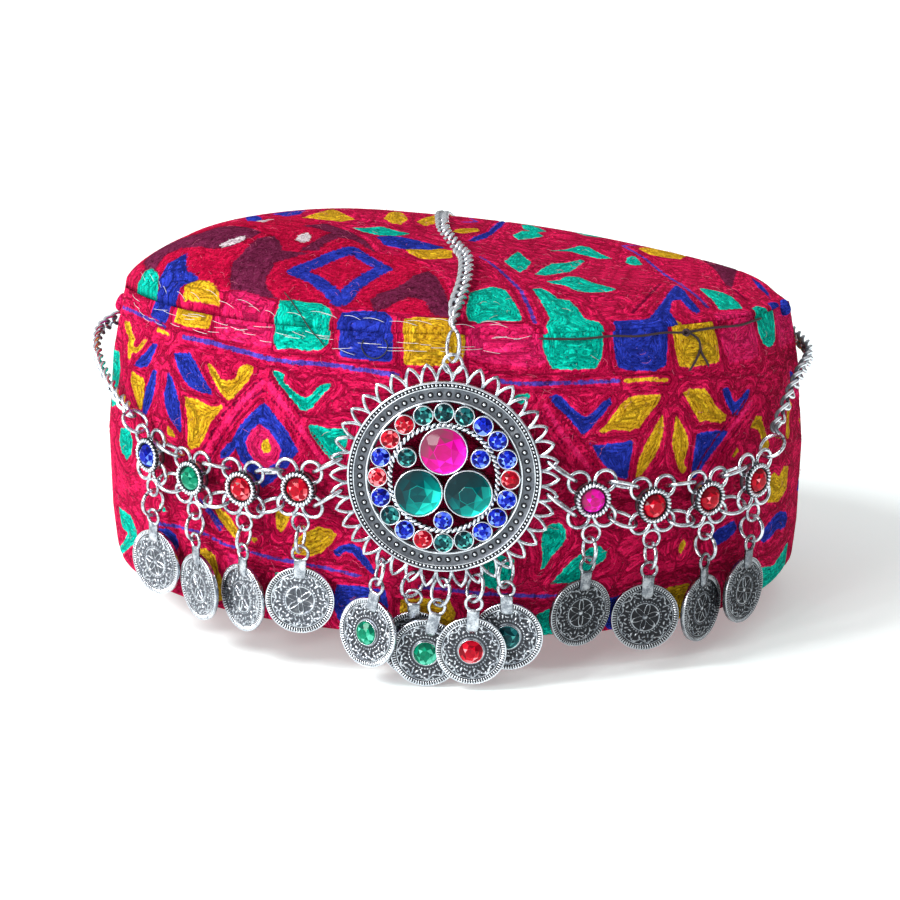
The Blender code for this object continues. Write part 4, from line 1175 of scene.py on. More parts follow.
# The flowers of one side, each with its coin and two links inwards, and the ring for the side chain.
def placeFlowers(side, sign, front):
    petalX, petalZ = layout["petalX"], layout["petalZ"]
    inPetal = layout["petalInner"] * math.cos(math.pi / 8) - wire / 2 - play * 0.8
    holes = [(onMedallion(front, layout["petalHole"], 90 - sign * away), -0.3) for away in (81, 99)]
    for i, (height, stone) in enumerate(flowers[side]):
        arc = layout["medallionArc"] + sign * (layout["firstFlower"] + i * layout["flowerPitch"])
        point, outward = onCurve(layout["hangOff"], arc)
        at = frameAt(point + up * height, up.cross(outward), up)
        facing = at.to_3x3() @ Vector((0, -1, 0))
        flowerPlaces.append((f"flower_{side}_{i + 1}", at, stone))
        turn, swing, ringTurn = map(math.radians, sideCoins[f"{side}_{i + 1}"])
        hook = at @ Vector((0, 0, -layout["eyeDrop"] - layout["eyeInner"] + wire / 2 + play))
        placePendant(f"{side}_{i + 1}", hook, facing, sign * turn, swing, sign * ringTurn, 0.0)
        for hole, upward, word in zip(holes, (1, -1), ("upper", "lower")):
            near = at @ Vector((-sign * petalX, 0, upward * petalZ))
            tilt = math.radians(upward * (layout["linkTilt"] if i else 0))
            placeLink(f"link_{side}_{i + 1}_{word}", hole, (near, inPetal), facing, tilt)
        holes = [(at @ Vector((sign * petalX, 0, upward * petalZ)), inPetal) for upward in (1, -1)]
    away = (up + at.to_3x3() @ Vector((sign, 0, 0))).normalized()
    centre = holes[0][0] + away * (inPetal + dropRing)
    ringPlaces.append((f"ring_chain_{side}", frameAt(centre, facing, away), dropRing, dropRing))
    chainEnds[side] = centre + away * (dropRing + wire / 2 + play + layout["chainRadius"] * 0.3)


medallionFrame = placeMedallion()
placeFlowers("left", -1, medallionFrame)
placeFlowers("right", 1, medallionFrame)

medallion = {
    "petals": 40, "petalBase": 23.6, "petalTip": 28.3, "petalWire": 0.46, "dome": (2.4, 20.5),
    "bandInner": 19.0, "bandOuter": 24.1, "beadRow": (23.1, 148, 0.36), "dotRow": (20.9, 58, 0.46),
    # radius, strand, twists
    "rope": (13.35, 0.4, 31),
    # distance from the middle, cup, size, rise, corners
    "ringStones": (16.4, 2.55, 2.28, 1.0, 8), "largeStones": (7.1, 6.05, 5.7, 1.7, 7),
    "smallStones": (10.5, 2.5, 2.22, 1.0, 8),
    "large": [(90, "pink", 0.05), (210, "sea", 0.04), (330, "sea", -0.03)],
    "small": [(150, "teal"), (30, "blue"), (270, "blue")],
    "ring": ["teal", "teal", "blue", "blue", "blue", "red", "blue", "blue", "blue", "teal",
             "teal", "red", "blue", "teal", "blue", "red", "blue", "red", "red", "teal"],
}


# Petal wire: one closed path; in each petal the angle swings half a pitch either side of its tip as
# cos^0.8 of the rise, and the radius goes from base to tip.
def petalPath():
    count = medallion["petals"]
    pitch = 2 * np.pi / count
    s = np.concatenate([np.linspace(0, 1, 9)[:-1], np.linspace(1, 0, 9)[:-1]])
    side = np.concatenate([-np.ones(8), np.ones(8)])
    swing = side * pitch / 2 * np.cos(s * np.pi / 2) ** 0.8
    angle = (np.pi / 2 + pitch * np.arange(count)[:, None] + swing).ravel()
    radius = np.tile(medallion["petalBase"] + (medallion["petalTip"] - medallion["petalBase"]) * s, count)
    return aroundY(radius, angle)


# Cup of a stone: a short tube turned about Y, with a rounded lip painted bright as a highlight and a dark
# inside.
def addCup(mesher, radius, back, front, wall, centre, sides=24):
    inner = radius - wall
    profile = [(radius, back), (radius, front + 0.15), (radius - wall * 0.3, front), (inner, front + 0.12),
               (inner - 0.1, front + 0.8), (inner - 0.1, back), (radius, back)]
    patina = np.array([0.9, -0.2, -0.7, -0.2, 1.0, 1.0, 0.9])[:, None]
    addTurned(mesher, profile, sides, centre, patina=np.broadcast_to(patina, (7, sides)))


# The middle stands forward: y = -dome (1 - (r / reach)^2).
def domeAt(radius):
    dome, reach = medallion["dome"]
    return -dome * max(0.0, 1 - (radius / reach) ** 2)


# A stone in its cup, at an angle round the medallion and turned with it.
def setStone(mesher, colour, degrees, form, wall=0.36, **cut):
    radius, cup, size, rise, n = form
    angle = math.radians(degrees)
    spot = (radius * math.cos(angle), radius * math.sin(angle))
    lift = domeAt(radius)
    addCup(mesher, cup, 0.4, -1.2 + lift, wall, spot, 28)
    addStone(mesher, colour, size, -1.15 + lift, rise, n, spot, angle, **cut)


# Cuts of stones: how light the facets' painted reflections are, how much painted light the lower right
# gains, how much chance there is, how strong the painted glow is, and how wide the flat top is.
smallCut = {
    "teal": {"level": 0.36, "tilt": 0.12, "chance": 1.2, "glow": 0.1, "table": 0.34},
    "blue": {"level": 0.44, "tilt": 0.05, "chance": 1.1, "glow": 0.05, "table": 0.34},
    "red": {"level": 0.46, "tilt": 0.06, "chance": 1.0, "glow": 0.05, "table": 0.34},
}
coinCut = {"level": 0.44, "tilt": 0.12, "chance": 0.75, "glow": 0.2, "table": 0.42}
bigCut = {"level": 0.34, "tilt": 0.22, "chance": 0.42, "glow": 0.34, "table": 0.38}


# Petal wire, turned band with beads and ringed dots, rope, stones in their cups, and the top loop.
def buildMedallion():
    mesher = Mesher("patina", "facet")
    addTube(mesher, petalPath(), (0, -1, 0), medallion["petalWire"], 8, True, patina=0.12)
    inner, outer = medallion["bandInner"], medallion["bandOuter"]
    # radius, y, patina and painted light: painted highlights on the ridges, dark in the grooves as patina
    # and painted shade
    rows = np.array([
        (inner, 0.45, 0.5), (inner, -0.9, 0.3), (inner + 0.12, -1.25, -0.5), (inner + 0.4, -1.3, -0.5),
        (inner + 0.6, -1.05, 0.9), (inner + 0.75, -0.95, 0.58), (22.35, -0.95, 0.58), (22.5, -1.1, -0.4),
        (22.62, -1.05, 0.3), (22.7, -0.75, 0.95), (23.5, -0.75, 0.95), (23.58, -1.2, 0.2),
        (23.8, -1.32, -0.5), (outer, -1.0, 0.0), (outer, 0.45, 0.5), (inner, 0.45, 0.5),
    ])
    addTurned(mesher, rows[:, :2], 180, patina=np.broadcast_to(rows[:, 2:], (len(rows), 180)))
    # Beads and dots are painted bright: painted highlights.
    for row, depth in (("beadRow", -0.85), ("dotRow", -0.92)):
        radius, count, size = medallion[row]
        addBeads(mesher, aroundY(radius, turnSteps(count), depth), size, 6, 8, patina=-0.6)
    # Each dot has a thin ring round it, painted dark as its shadow.
    for x, y, z in aroundY(radius, turnSteps(count), -0.99):
        addRing(mesher, size * 1.35, 0.16, 12, 4, (x, z), y, patina=1.0)
    ropeRadius = medallion["rope"][0]
    ropeDepth = -0.3 + domeAt(ropeRadius)
    addRope(mesher, *medallion["rope"], ropeDepth, 720)
    # A dark ring behind the rope, seen through its gaps: painted shade.
    addRing(mesher, ropeRadius, 0.5, 120, 8, depth=ropeDepth + 0.5, patina=1.0)
    addRing(mesher, inner, 0.4, 120, 8, depth=0.1, patina=0.6)
    for i, colour in enumerate(medallion["ring"]):
        setStone(mesher, colour, 90 - 18 * i, medallion["ringStones"], **smallCut[colour])
    for degrees, colour, lighter in medallion["large"]:
        cut = {**bigCut, "level": bigCut["level"] + lighter}
        setStone(mesher, colour, degrees, medallion["largeStones"], 0.38, **cut)
    for degrees, colour in medallion["small"]:
        setStone(mesher, colour, degrees, medallion["smallStones"], **smallCut[colour])
    angle = math.radians(layout["loopDegrees"])
    spot = (layout["loopRadius"] * math.cos(angle), layout["loopRadius"] * math.sin(angle))
    addRing(mesher, 2.35, 0.45, 32, 8, spot, patina=0.1)
    return moveAll(mesher, medallionFrame).build("medallionDrawn", jewelMaterials)


finishPiece(buildMedallion(), "jewelled_silver", "medallion")
print("medallion made")


# Sizes of a flower link: rings by radius and wire, the rope as in the medallion.
flower = {"petal": (2.75, 0.52), "eye": (2.25, 0.44), "cup": 4.25, "rope": (3.95, 0.4, 13), "stone": 3.05}


# Four petal rings and the lower eye, and in the middle a stone in a cup with a rope round it.
def buildFlower(name, at, stone):
    mesher = Mesher("patina", "facet")
    for x in (-layout["petalX"], layout["petalX"]):
        for z in (-layout["petalZ"], layout["petalZ"]):
            addRing(mesher, *flower["petal"], 32, 10, (x, z), patina=0.1)
    addRing(mesher, *flower["eye"], 28, 8, (0, -layout["eyeDrop"]), patina=0.1)
    addCup(mesher, flower["cup"], 1.2, -1.3, 0.5, (0, 0), 40)
    addRope(mesher, *flower["rope"], -1.35, 260, 1.6)
    # A dark ring between the stone and the rope: painted shade.
    addRing(mesher, flower["stone"] + 0.3, 0.3, 40, 6, depth=-1.3, patina=1.0)
    addStone(mesher, stone, flower["stone"], -1.4, 1.6, 8, (0, 0), 0.2, **coinCut)
    return moveAll(mesher, at).build(name + "_drawn", jewelMaterials)


for name, at, stone in flowerPlaces:
    finishPiece(buildFlower(name, at, stone), "jewelled_silver", name)
print("flowers made")


# Ring of round wire, (a cos t, 0, b sin t), with a fine butt joint where the wire thins.
def buildWireRing(name, at, wide, high):
    t = turnSteps(56, 0.5)
    path = np.stack([wide * np.cos(t), 0 * t, high * np.sin(t)], -1)
    thin = np.full(len(t), wire / 2)
    thin[3] *= 0.86
    dark = np.full((len(t), 12), 0.08)
    dark[3] = 0.9
    mesher = Mesher("patina")
    addTube(mesher, path, (0, -1, 0), thin, 12, True, patina=dark)
    return moveAll(mesher, at).build(name + "_drawn", [silver])


for name, at, wide, high in ringPlaces + linkPlaces:
    finishPiece(buildWireRing(name, at, wide, high), "silver", name)
print("rings and links made")

# Grid of a coin's face, reeds of its rim, height of the relief, radius of the field, cup and stone.
coinLooks = {"rings": 40, "columns": 240, "reeds": 80, "relief": 0.36, "field": 7.55,
             "cup": 3.2, "stone": 3.08}
# How dark the field is: on the left, with a stone, and on the right.
coinDark = {"left": 0.62, "medallion": 0.78, "right": 0.95}


# Strokes round a circle: in each cell a bent bar exp(-(along / a)^4 - (across / b)^2), turned and
# moved outwards by sines of the cell's number.
def strokes(r, t, radius, count, size, seed):
    k = np.floor(t * count / (2 * np.pi))
    turn = 1.6 * np.sin(k * 7.3 + seed) + 0.4
    dx = (t - (k + 0.5) * 2 * np.pi / count) * radius
    dr = r - radius - 0.32 * np.sin(k * 3.7 + seed * 2)
    along = dx * np.cos(turn) + dr * np.sin(turn)
    across = dr * np.cos(turn) - dx * np.sin(turn) + 0.5 * along**2 * np.sin(k * 5.1)
    return np.exp(-((along / size[0]) ** 4) - (across / size[1]) ** 2)


# Field of a coin as a height from 0 to 1, the highest of an edge line, a vine r = 6.6 + 0.45 sin 11t,
# strokes, dots, and the seat of a stone, or a rosette r = 2.3 + 1.2 cos 6t in a ring with a boss.
def coinField(r, t, stone, seed):
    dots = np.cos(36 * t) * 0.5 + 0.5
    parts = [np.exp(-((r - 7.4) / 0.12) ** 2) * 0.8 + 0 * t,
             np.exp(-((r - 6.6 - 0.45 * np.sin(11 * t + seed)) / 0.14) ** 2) * 0.9,
             strokes(r, t, 6.6, 44, (0.36, 0.16), seed), strokes(r, t, 5.4, 30, (0.55, 0.17), seed + 2),
             dots * np.exp(-((r - 4.25) / 0.15) ** 2) * 0.9]
    if stone:
        parts.append(np.clip(1 - np.abs(r - 3.3) / 0.35, 0, 1) * 0.6)
    else:
        petals = 2.3 + 1.2 * np.cos(6 * t + seed)
        parts += [np.exp(-((r - petals) / 0.22) ** 2), np.exp(-((r - 3.75) / 0.15) ** 2) * 0.9,
                  np.clip(1 - r / 0.8, 0, 1) ** 0.5]
    return np.maximum.reduce(parts)


# Rim of a coin: rows of (radius, y, patina and painted light, share) turned about the Y axis; its outer
# lip is painted bright as a highlight. The reeds 0.3 clamp(1.5 cos(reeds t) + 0.45) lift y and lighten
# that value by the row's share of them.
def addRim(mesher):
    t = turnSteps(6 * coinLooks["reeds"])
    reeds = 0.3 * np.clip(np.cos(coinLooks["reeds"] * t) * 1.5 + 0.45, 0, 1)
    rows = [(7.45, -0.4, 0.8, 0), (7.62, -0.4, 1.0, 0), (7.7, -0.4, 0.5, 1), (8.55, -0.4, 0.5, 1),
            (8.62, -0.6, 0.1, 0), (8.84, -0.62, -0.5, 0), (8.9, -0.5, 0.05, 0), (8.9, 0.45, 0.2, 0),
            (8.75, 0.6, 0.3, 0), (7.45, 0.6, 0.5, 0), (7.45, -0.4, 0.5, 0)]
    radius, y, patina, share = np.array(rows).T[:, :, None]
    patina = patina - share * (reeds / reeds.max() - 0.5) * 1.7
    mesher.grid(aroundY(radius, t, y - share * reeds), wrapColumns=True, patina=np.clip(patina, -0.5, 1))


# Tab of a coin: a strap of nine rows of six corners, narrower below, and closed at both ends.
def addTab(mesher, pointed):
    s = np.linspace(0, 1, 9)[:, None]
    low, narrow = (5.0, 0.75) if pointed else (6.1, 0.12)
    wide = 1.55 * np.where(s > 0.85, 1 - narrow * (s - 0.85) / 0.15, 1)
    x, y = np.array([(1, -1.02), (0.86, -1.16), (-0.86, -1.16), (-1, -1.02), (-1, -0.3), (1, -0.3)]).T
    strap = np.stack(np.broadcast_arrays(wide * x, y, 11.3 + (low - 11.3) * s), -1)
    ends = [np.broadcast_to(strap[k].mean(0), (1, 6, 3)) for k in (0, -1)]
    mesher.grid(np.concatenate([ends[0], strap, ends[1]]), wrapColumns=True, patina=0.25)


# Face y = -0.36 - relief * field height over a polar grid, then back, rim, disc, tab, eye and stone.
def buildCoin(name, at, stone, pointed, seed, field, first):
    mesher = Mesher("patina", "facet")
    t = turnSteps(coinLooks["columns"])
    r = np.linspace(0, coinLooks["field"], coinLooks["rings"])[:, None] + 0 * t
    height = coinField(r, t[None, :], stone, seed)
    face = aroundY(r, t, -0.36 - coinLooks["relief"] * height)
    back = aroundY(np.array([[coinLooks["field"]], [0.0]]), t, 0.1)
    patina = np.concatenate([field - height * (field + 0.3), np.full(back.shape[:2], 0.9)])
    mesher.grid(np.concatenate([face, back]), wrapColumns=True, patina=np.clip(patina, -0.25, 1))
    addRim(mesher)
    addTurned(mesher, [(7.6, 0.55), (7.6, 0.0), (0, 0.0), (0, 0.58), (7.6, 0.55)], 48, patina=0.4)
    addTab(mesher, pointed)
    addRing(mesher, 2.02, 0.45, 28, 8, (0, layout["bailRise"]), -0.69, patina=0.15)
    if stone:
        addCup(mesher, coinLooks["cup"], -0.3, -1.1, 0.16, (0, 0), 32)
        addStone(mesher, stone, coinLooks["stone"], -1.05, 1.3, 8, (0, 0), 0.1, **coinCut)
    return moveAll(mesher, at).build(name + "_drawn", [first] + jewelMaterials[1:])


for number, (name, at, stone, pointed) in enumerate(coinPlaces):
    side = name.split("_")[1]
    # Coins on the right side get a copy of the silver at half brightness, and a darker field.
    first = darkSilver if side == "right" else silver
    piece = buildCoin(name, at, stone, pointed, number * 1.7, coinDark[side], first)
    finishPiece(piece, "silver", name)
print("coins made")

# Links: pitch along the chain, half length, half width, twist and wire of a link. Heights of the top
# chain off the crown, in front and behind.
chains = {
    "pitch": 4.7, "halfLong": 2.95, "halfWide": 1.6, "twist": 0.75, "wire": 0.55, "lifts": (-0.55, -1.55),
    # x, y over the crown
    "top": [(9.5, -66), (9.2, -50), (7.8, -35), (5.7, -22), (1.5, -8), (-4.2, 9), (-7.3, 26),
            (-10.0, 45), (-11.5, 64)],
    # angle from the front, height, distance off the wall
    "sides": [(-52, 50, 4.6), (-58, 52, 3.8), (-66, 54, 3.4), (-75, 56.3, 4.0), (-84, 58.5, 5.6),
              (-92, 60, 6.6), (-101, 61, 5.4), (-112, 62, 3.2), (-128, 63, 2.5), (-145, 63.6, 2.5),
              (-158, 64, 2.8), (-173, 64, 3.9), (-188, 63.8, 2.8), (-215, 63, 2.5), (-235, 62, 2.5),
              (-250, 61, 2.7), (-260, 60.2, 3.3), (-270, 59.3, 4.8), (-280, 57.2, 3.4),
              (-287, 53.8, 2.9), (-291, 50.2, 2.9), (-295, 46.5, 3.0)],
}


# Point (wide sin a - trim, -deep cos a, height) and a distance outwards from it.
def offWall(degrees, height, distance):
    angle = math.radians(degrees)
    wide = float(np.interp(height, sections[:, 0], sections[:, 1]))
    deep = float(np.interp(height, sections[:, 0], sections[:, 2]))
    outward = Vector((math.sin(angle) / wide, -math.cos(angle) / deep, 0)).normalized()
    x = wide * math.sin(angle) - float(trimAt(degrees))
    return Vector((x, -deep * math.cos(angle), height)) + outward * distance


# Point off the crown, along the normal from its slopes over 4 mm.
def offCrown(x, y, distance):
    slopeX = float(crownHeight(x + 2, y) - crownHeight(x - 2, y)) / 4
    slopeY = float(crownHeight(x, y + 2) - crownHeight(x, y - 2)) / 4
    normal = Vector((-slopeX, -slopeY, 1)).normalized()
    return Vector((x, y, float(crownHeight(x, y)))) + normal * distance


# Catmull-Rom curve through the points, then even steps of the pitch along it.
def smoothRoute(points, step):
    ends = np.array([points[0] * 2 - points[1]] + points + [points[-1] * 2 - points[-2]])
    a, b, c, d = (ends[k:len(ends) - 3 + k][:, None] for k in range(4))
    t = (np.arange(24) / 24)[None, :, None]
    square, cube = 2 * a - 5 * b + 4 * c - d, 3 * b - a - 3 * c + d
    fine = 0.5 * (2 * b + (c - a) * t + square * t**2 + cube * t**3)
    fine = np.concatenate([fine.reshape(-1, 3), ends[-2:-1]])
    arcs = np.concatenate([[0], np.cumsum(np.linalg.norm(np.diff(fine, axis=0), axis=1))])
    count = round(arcs[-1] / step)
    want = (np.arange(count) + 0.5) * arcs[-1] / count
    return np.stack([np.interp(want, arcs, fine[:, k]) for k in range(3)], -1)


# Curb chain: each link is centre + a cos t along + b sin t across + c sin 2t outwards, turned a little by
# chance, with painted shade where it dips under its neighbour and painted highlights where it rises over
# it.
def buildChain(name, route, outwardAt):
    mesher = Mesher("patina")
    way = unit(np.gradient(route, axis=0))
    outward = outwardAt(route, way)
    outward = unit(outward - way * (outward * way).sum(-1, keepdims=True))
    across = np.cross(outward, way)
    t = turnSteps(22)
    paintedShadeAndHighlight = (0.6 - 1.3 * np.clip(np.sin(2 * t) + 0.6, 0, 1))[:, None] * np.ones(8)
    wobble = np.random.default_rng(len(route)).normal(0, 0.10, (len(route), 2))
    for k, centre in enumerate(route):
        turnedAcross = unit(across[k] + outward[k] * wobble[k, 0])
        turnedOut = np.cross(way[k], turnedAcross)
        path = (centre + np.outer(chains["halfLong"] * np.cos(t), way[k])
                + np.outer(chains["halfWide"] * np.sin(t), turnedAcross)
                + np.outer(chains["twist"] * np.sin(2 * t), turnedOut))
        addTube(mesher, path, turnedOut, chains["wire"], 8, True, patina=paintedShadeAndHighlight)
    return mesher.build(name + "_drawn", [silver])


# Out of the crown, and rolled on its side by 25 and 65 degrees times bells round y = -6 and y = -74.
def outOfCrown(route, way):
    sideways = np.array([1.0, 0, 0])
    y = route[:, 1:2]
    roll = 0.44 * np.exp(-(((y + 6) / 15) ** 2)) + 1.13 * np.exp(-(((y + 74) / 9) ** 2))
    return np.cross(sideways, way) * np.cos(roll) - sideways * np.sin(roll)


sideStops = [chainEnds["left"]] + [offWall(*row) for row in chains["sides"]] + [chainEnds["right"]]
sideRoute = smoothRoute(sideStops, chains["pitch"])
sideChain = buildChain("chain_sides", sideRoute, lambda route, way: outOfOval(route))
finishPiece(sideChain, "silver", "chain_sides")
backMiddle = offWall(layout["backAngle"], layout["backHeight"] + 0.4, layout["backRing"] + wire / 2 + play)
topStops = [chainEnds["top"]]
for x, y in chains["top"]:
    topStops.append(offCrown(x, y, layout["chainRadius"] + chains["lifts"][y > -10]))
topStops.append(offWall(layout["backAngle"], 79, layout["chainRadius"] + 0.9))
topStops.append(backMiddle + up * (layout["backRing"] + wire / 2 + play + layout["chainRadius"] * 0.5))
topRoute = smoothRoute(topStops, chains["pitch"])
finishPiece(buildChain("chain_top", topRoute, outOfCrown), "silver", "chain_top")
backFrame = frameAt(backMiddle, Vector((0, 1, 0)), up)
backRing = buildWireRing("ring_back", backFrame, layout["backRing"], layout["backRing"])
finishPiece(backRing, "silver", "ring_back")
print("chains made")

# Sewing threads and loose fibres: radius in millimetres, roughness, colour. Then how many there are.
threads = {
    "nylon": (0.055, 0.15, (0.78, 0.74, 0.82)), "dark": (0.32, 0.7, (0.030, 0.010, 0.014)),
    "fine": (0.16, 0.6, (0.008, 0.012, 0.012)), "fibres": (0.035, 0.9, (0.80, 0.16, 0.26)),
    "stitches": 44, "sideFibres": 700, "crownFibres": 260,
}
threadRandom = np.random.default_rng(5)


# Point on the side at an arc length and height, a distance off it.
def onSide(arc, height, off):
    arc, height, off = np.broadcast_arrays(np.asarray(arc, float), height, off)
    point = wallPoint(np.interp(arc, ovalArcs, ovalAngles), height / sideHeight)
    return point + outOfOval(point) * off[..., None]


# Point over the crown: (x, y, crown height + off).
def onCrown(x, y, off):
    return np.stack([x, y, crownHeight(x, y) + off], -1)


# Many thin threads of one kind, closed to points: corners p + radius taper (side cos k + over sin k).
def addThreads(mesher, kind, paths, sides=4):
    way = unit(np.gradient(paths, axis=1))
    side = unit(np.cross(way, [0.31, 0.27, 0.91]))
    over = np.cross(way, side)
    k = turnSteps(sides)[:, None]
    taper = np.ones(paths.shape[1])
    taper[[0, -1]] = 0.0
    ring = side[:, :, None] * np.cos(k) + over[:, :, None] * np.sin(k)
    tubes = paths[:, :, None] + ring * (threads[kind][0] * taper)[None, :, None, None]
    for tube in tubes:
        mesher.grid(tube, wrapColumns=True)


# Threads of one kind as a piece, their colour mottled by fine noise.
def finishThreads(mesher, kind, name):
    rough, colour = threads[kind][1:]
    made, shader, start = newMaterial("thread " + kind, Roughness=rough)
    twist = start.noise(start.objectPlace(), 2200, 2)
    pale = rgba([min(1, 1.3 * channel) for channel in colour])
    feed(shader, Base_Color=twist.blend(rgba(colour, 0.6), pale))
    finishPiece(mesher.build(name, [made]), "wool")


# Clear thread along the left half of the seam, drawn pale as painted glints: long slanting stitches that
# dip into the wool at both ends, height off the wool = 0.5 sin(pi t) - 0.2, and others over the crown's
# edge.
def addNylon():
    mesher = Mesher()
    count = threads["stitches"]
    t = np.linspace(0, 1, 9)
    start = np.linspace(-104, 26, count) + threadRandom.normal(0, 1.2, count)
    length = threadRandom.uniform(4.0, 9.0, count)
    low = threadRandom.uniform(0.3, 4.6, count)
    drop = threadRandom.uniform(-1.6, 1.2, count)
    arc = start[:, None] + length[:, None] * t
    height = sideHeight - np.abs(low[:, None] - drop[:, None] * t)
    addThreads(mesher, "nylon", onSide(arc, height, 0.5 * np.sin(np.pi * t) - 0.2))
    degrees = np.interp(start[::2, None] + length[::2, None] * t, ovalArcs, ovalAngles)
    reach = (0.985 - 0.03 * threadRandom.random(len(degrees)))[:, None] + 0.012 * t
    edge = crownEdge(degrees)
    crossing = onCrown(edge[..., 0] * reach, edge[..., 1] * reach, 0.55 * np.sin(np.pi * t) - 0.1)
    addThreads(mesher, "nylon", crossing)
    finishThreads(mesher, "nylon", "nylonStitches")


# Routes on the side: distance off it, then (arc length, height) stops. Dark thread lies along the right
# half of the seam and has two loose tails; a fine one makes a loop.
darkRoutes = [
    (0.35, [(33, 77.4), (45, 76.9), (54, 77.2), (62, 76.7), (70, 77.0), (77, 76.6), (88, 76.9),
            (99, 76.6), (108, 77.2), (113, 77.4)]),
    (0.45, [(76.5, 76.9), (79, 76.1), (81.6, 74.2), (82, 71.1), (83.7, 68.4), (84.3, 66.6)]),
    (0.45, [(81.8, 72.6), (80.7, 70.4), (77.8, 67.4), (76.3, 66.6)]),
]
fineLoop = (0.5, [(-8.0, 77.6), (-6.5, 75.4), (-7.5, 73.2), (-9.9, 72.1), (-12.5, 73.0), (-13.7, 75.1),
                  (-12.7, 77.2)])


# Stops on the side, all at one distance off it.
def sideRouteAt(off, stops):
    return [onSide(arc, height, off) for arc, height in stops]


# The dark thread with its knot, two turns (0.75 cos t, 0.5 sin 1.5t, 0.7 sin t), and the fine one, which
# also crosses from the crown to the side.
def addDarkThreads():
    mesher = Mesher()
    for route in darkRoutes:
        addThreads(mesher, "dark", smoothRoute(sideRouteAt(*route), 0.8)[None], 6)
    t = np.linspace(0, 4 * np.pi, 40)
    turns = np.stack([0.75 * np.cos(t), 0.5 * np.sin(1.5 * t), 0.7 * np.sin(t)], -1)
    addThreads(mesher, "dark", (onSide(77.2, 76.6, 0.7) + turns)[None], 6)
    finishThreads(mesher, "dark", "darkThread")
    across = [onCrown(-35.5, -61.0, 0.5), onCrown(-32.8, -65.0, 0.5), onCrown(-30.2, -69.0, 0.6),
              onSide(-28.2, 78.0, 0.7), onSide(-25.8, 76.0, 0.5), onSide(-23.7, 73.8, 0.4)]
    mesher = Mesher()
    for route in (across, sideRouteAt(*fineLoop)):
        addThreads(mesher, "fine", smoothRoute(route, 0.8)[None], 5)
    finishThreads(mesher, "fine", "fineThread")


# Loose fibres: p(t) = start + length t along a random direction, curling by sin, and standing off by
# rise sin(pi t).
def addFibres():
    t = np.linspace(0, 1, 6)
    paths = []
    for kind in ("sideFibres", "crownFibres"):
        count = threads[kind]
        angle, length, curl, rise = threadRandom.random((4, count, 1))
        angle = angle * 2 * np.pi
        length = 1.2 + 2.4 * length
        bend = 0.5 * np.sin(3 * t + 6 * curl)
        alongWay = length * t * np.cos(angle) + bend * np.sin(angle)
        acrossWay = length * t * np.sin(angle) - bend * np.cos(angle)
        off = (0.15 + 0.75 * rise) * np.sin(np.pi * t) - 0.1
        a, b = threadRandom.random((2, count, 1))
        if kind == "sideFibres":
            paths.append(onSide((2 * a - 1) * halfRound + alongWay, 3 + 72 * b + acrossWay, off))
        else:
            reach = 0.94 * np.sqrt(a)
            x, y = topWide * reach * np.cos(2 * np.pi * b), topDeep * reach * np.sin(2 * np.pi * b)
            paths.append(onCrown(x + alongWay, y + acrossWay, off))
    mesher = Mesher()
    addThreads(mesher, "fibres", np.concatenate(paths), 3)
    finishThreads(mesher, "fibres", "looseFibres")


# Pinched corners of cloth at both ends of the seam: place, half sizes in mm, colour.
ears = {
    "earLeft": ((-95.6, -3.4, 68.6), (2.0, 3.4, 2.6), "pink"),
    "earRight": ((91.6, -5.0, 73.0), (2.0, 3.6, 2.2), "blue"),
}


# Lump: half sizes times (cos b cos a, cos b sin a, sin b), pinched outwards by 1 - 0.35 sin b.
def buildEar(name, place, size, colour):
    a, b = np.meshgrid(turnSteps(28), np.linspace(-np.pi / 2, np.pi / 2, 17))
    pinch = 1 - 0.35 * np.sin(b)
    grid = np.stack([size[0] * np.cos(b) * np.cos(a) * pinch, size[1] * np.cos(b) * np.sin(a) * pinch,
                     size[2] * np.sin(b)], -1) + np.array(place)
    values = {kind: np.full(a.shape, -3.0) for kind in colours}
    values[colour] = np.full(a.shape, 3.0)
    values["rowAcross"] = size[2] * np.sin(b) + 20
    values["rowAlong"] = a * size[1]
    mesher = Mesher(*values)
    mesher.grid(grid, wrapColumns=True, **values)
    return mesher.build(name, [wool])


addNylon()
addDarkThreads()
addFibres()
for name, (place, size, colour) in ears.items():
    finishPiece(buildEar(name, place, size, colour), "wool")
print("threads made")

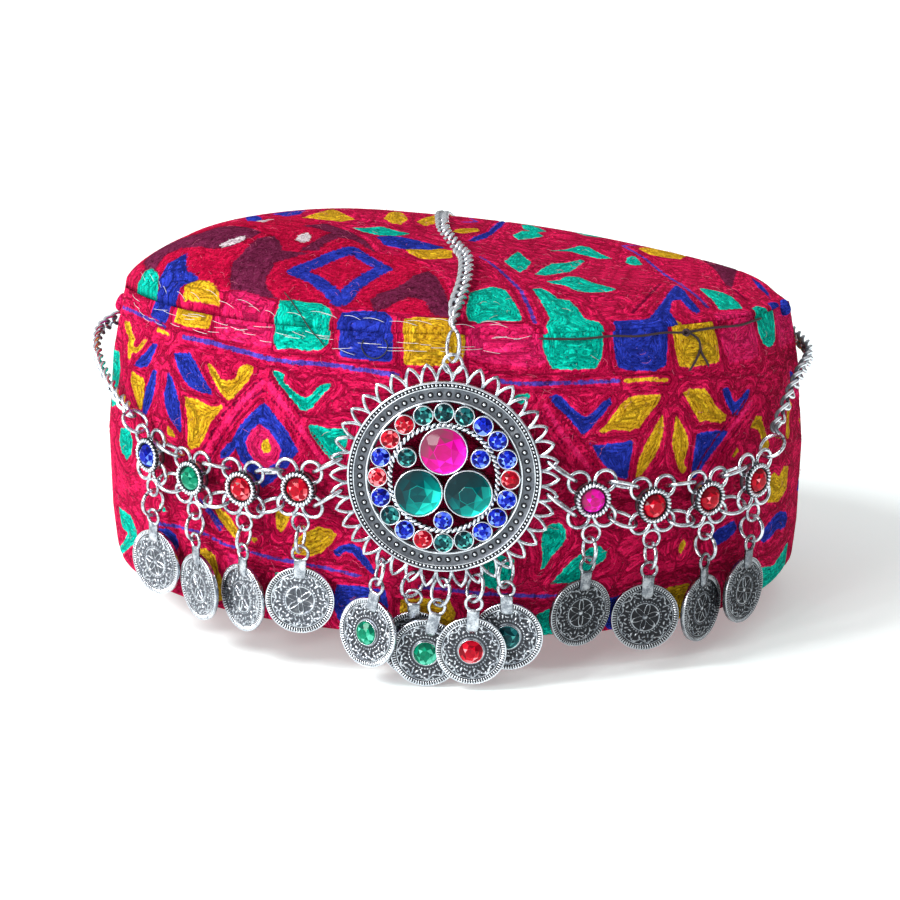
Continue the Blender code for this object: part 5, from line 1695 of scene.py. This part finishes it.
cameraData = bpy.data.cameras.new("camera")
cameraData.sensor_width = 36
cameraData.lens = photo["focus"] / photo["size"] * cameraData.sensor_width
scene = bpy.context.scene
scene.camera = addView("camera", cameraData, Vector(photo["place"]) * mm, -view)
scene.view_settings.view_transform = "Standard"

lighting = {
    # direction towards the sun or place of the lamp, softness in degrees or size in metres, strength
    "sun": ((-0.72, -0.38, 0.76), 22, 2.85),
    "front": ((-0.55, -1.0, 0.45), 0.3, 6.5),
    # brightness near the horizon, overhead, and more on the left
    "world": (0.10, 0.64, 0.66),
}
sunData = bpy.data.lights.new("sun", "SUN")
sunwards, softness, sunData.energy = lighting["sun"]
sunData.angle = math.radians(softness)
addView("sun", sunData, (0, 0, 0), sunwards)
frontData = bpy.data.lights.new("front", "AREA")
frontPlace, frontData.size, frontData.energy = lighting["front"]
addView("front", frontData, frontPlace, Vector(frontPlace) - up * 0.04)
world = bpy.data.worlds.new("world")
world.use_nodes = True
sky = Shade(world.node_tree)
around = sky.make("ShaderNodeSeparateXYZ", None, {0: sky.make("ShaderNodeTexCoord", out=0)}, out=0)
upwards = Shade(world.node_tree, around.socket.node.outputs[2])
low, high, leftGain = lighting["world"]
brightness = upwards.step(0.0, 0.75) * (high - low) + low + (-around).step(0.35, 0.9) * leftGain
background = world.node_tree.nodes["Background"]
background.inputs[0].default_value = (1, 1, 1, 1)
world.node_tree.links.new(brightness.socket, background.inputs[1])
scene.world = world

floorMaterial, floorShader, floorStart = newMaterial(
    "pale floor", Roughness=0.9, Specular_IOR_Level=0.1, Emission_Color=(1, 1, 1, 1),
    Emission_Strength=0.29)
mottle = floorStart.noise(floorStart.objectPlace(), 3, 2)
feed(floorShader, Base_Color=mottle.blend((0.79, 0.86, 0.855, 1), (0.82, 0.9, 0.89, 1)))
# The floor: 40 m square, just under the lowest coin.
floorMesh = Mesher()
floorSide = np.linspace(-20, 20, 9)
gx, gy = np.meshgrid(floorSide, floorSide, indexing="ij")
floorMesh.grid(np.stack([gx, gy, np.full(gx.shape, -0.0108)], -1) / mm)
floor = floorMesh.build("floor", [floorMaterial])
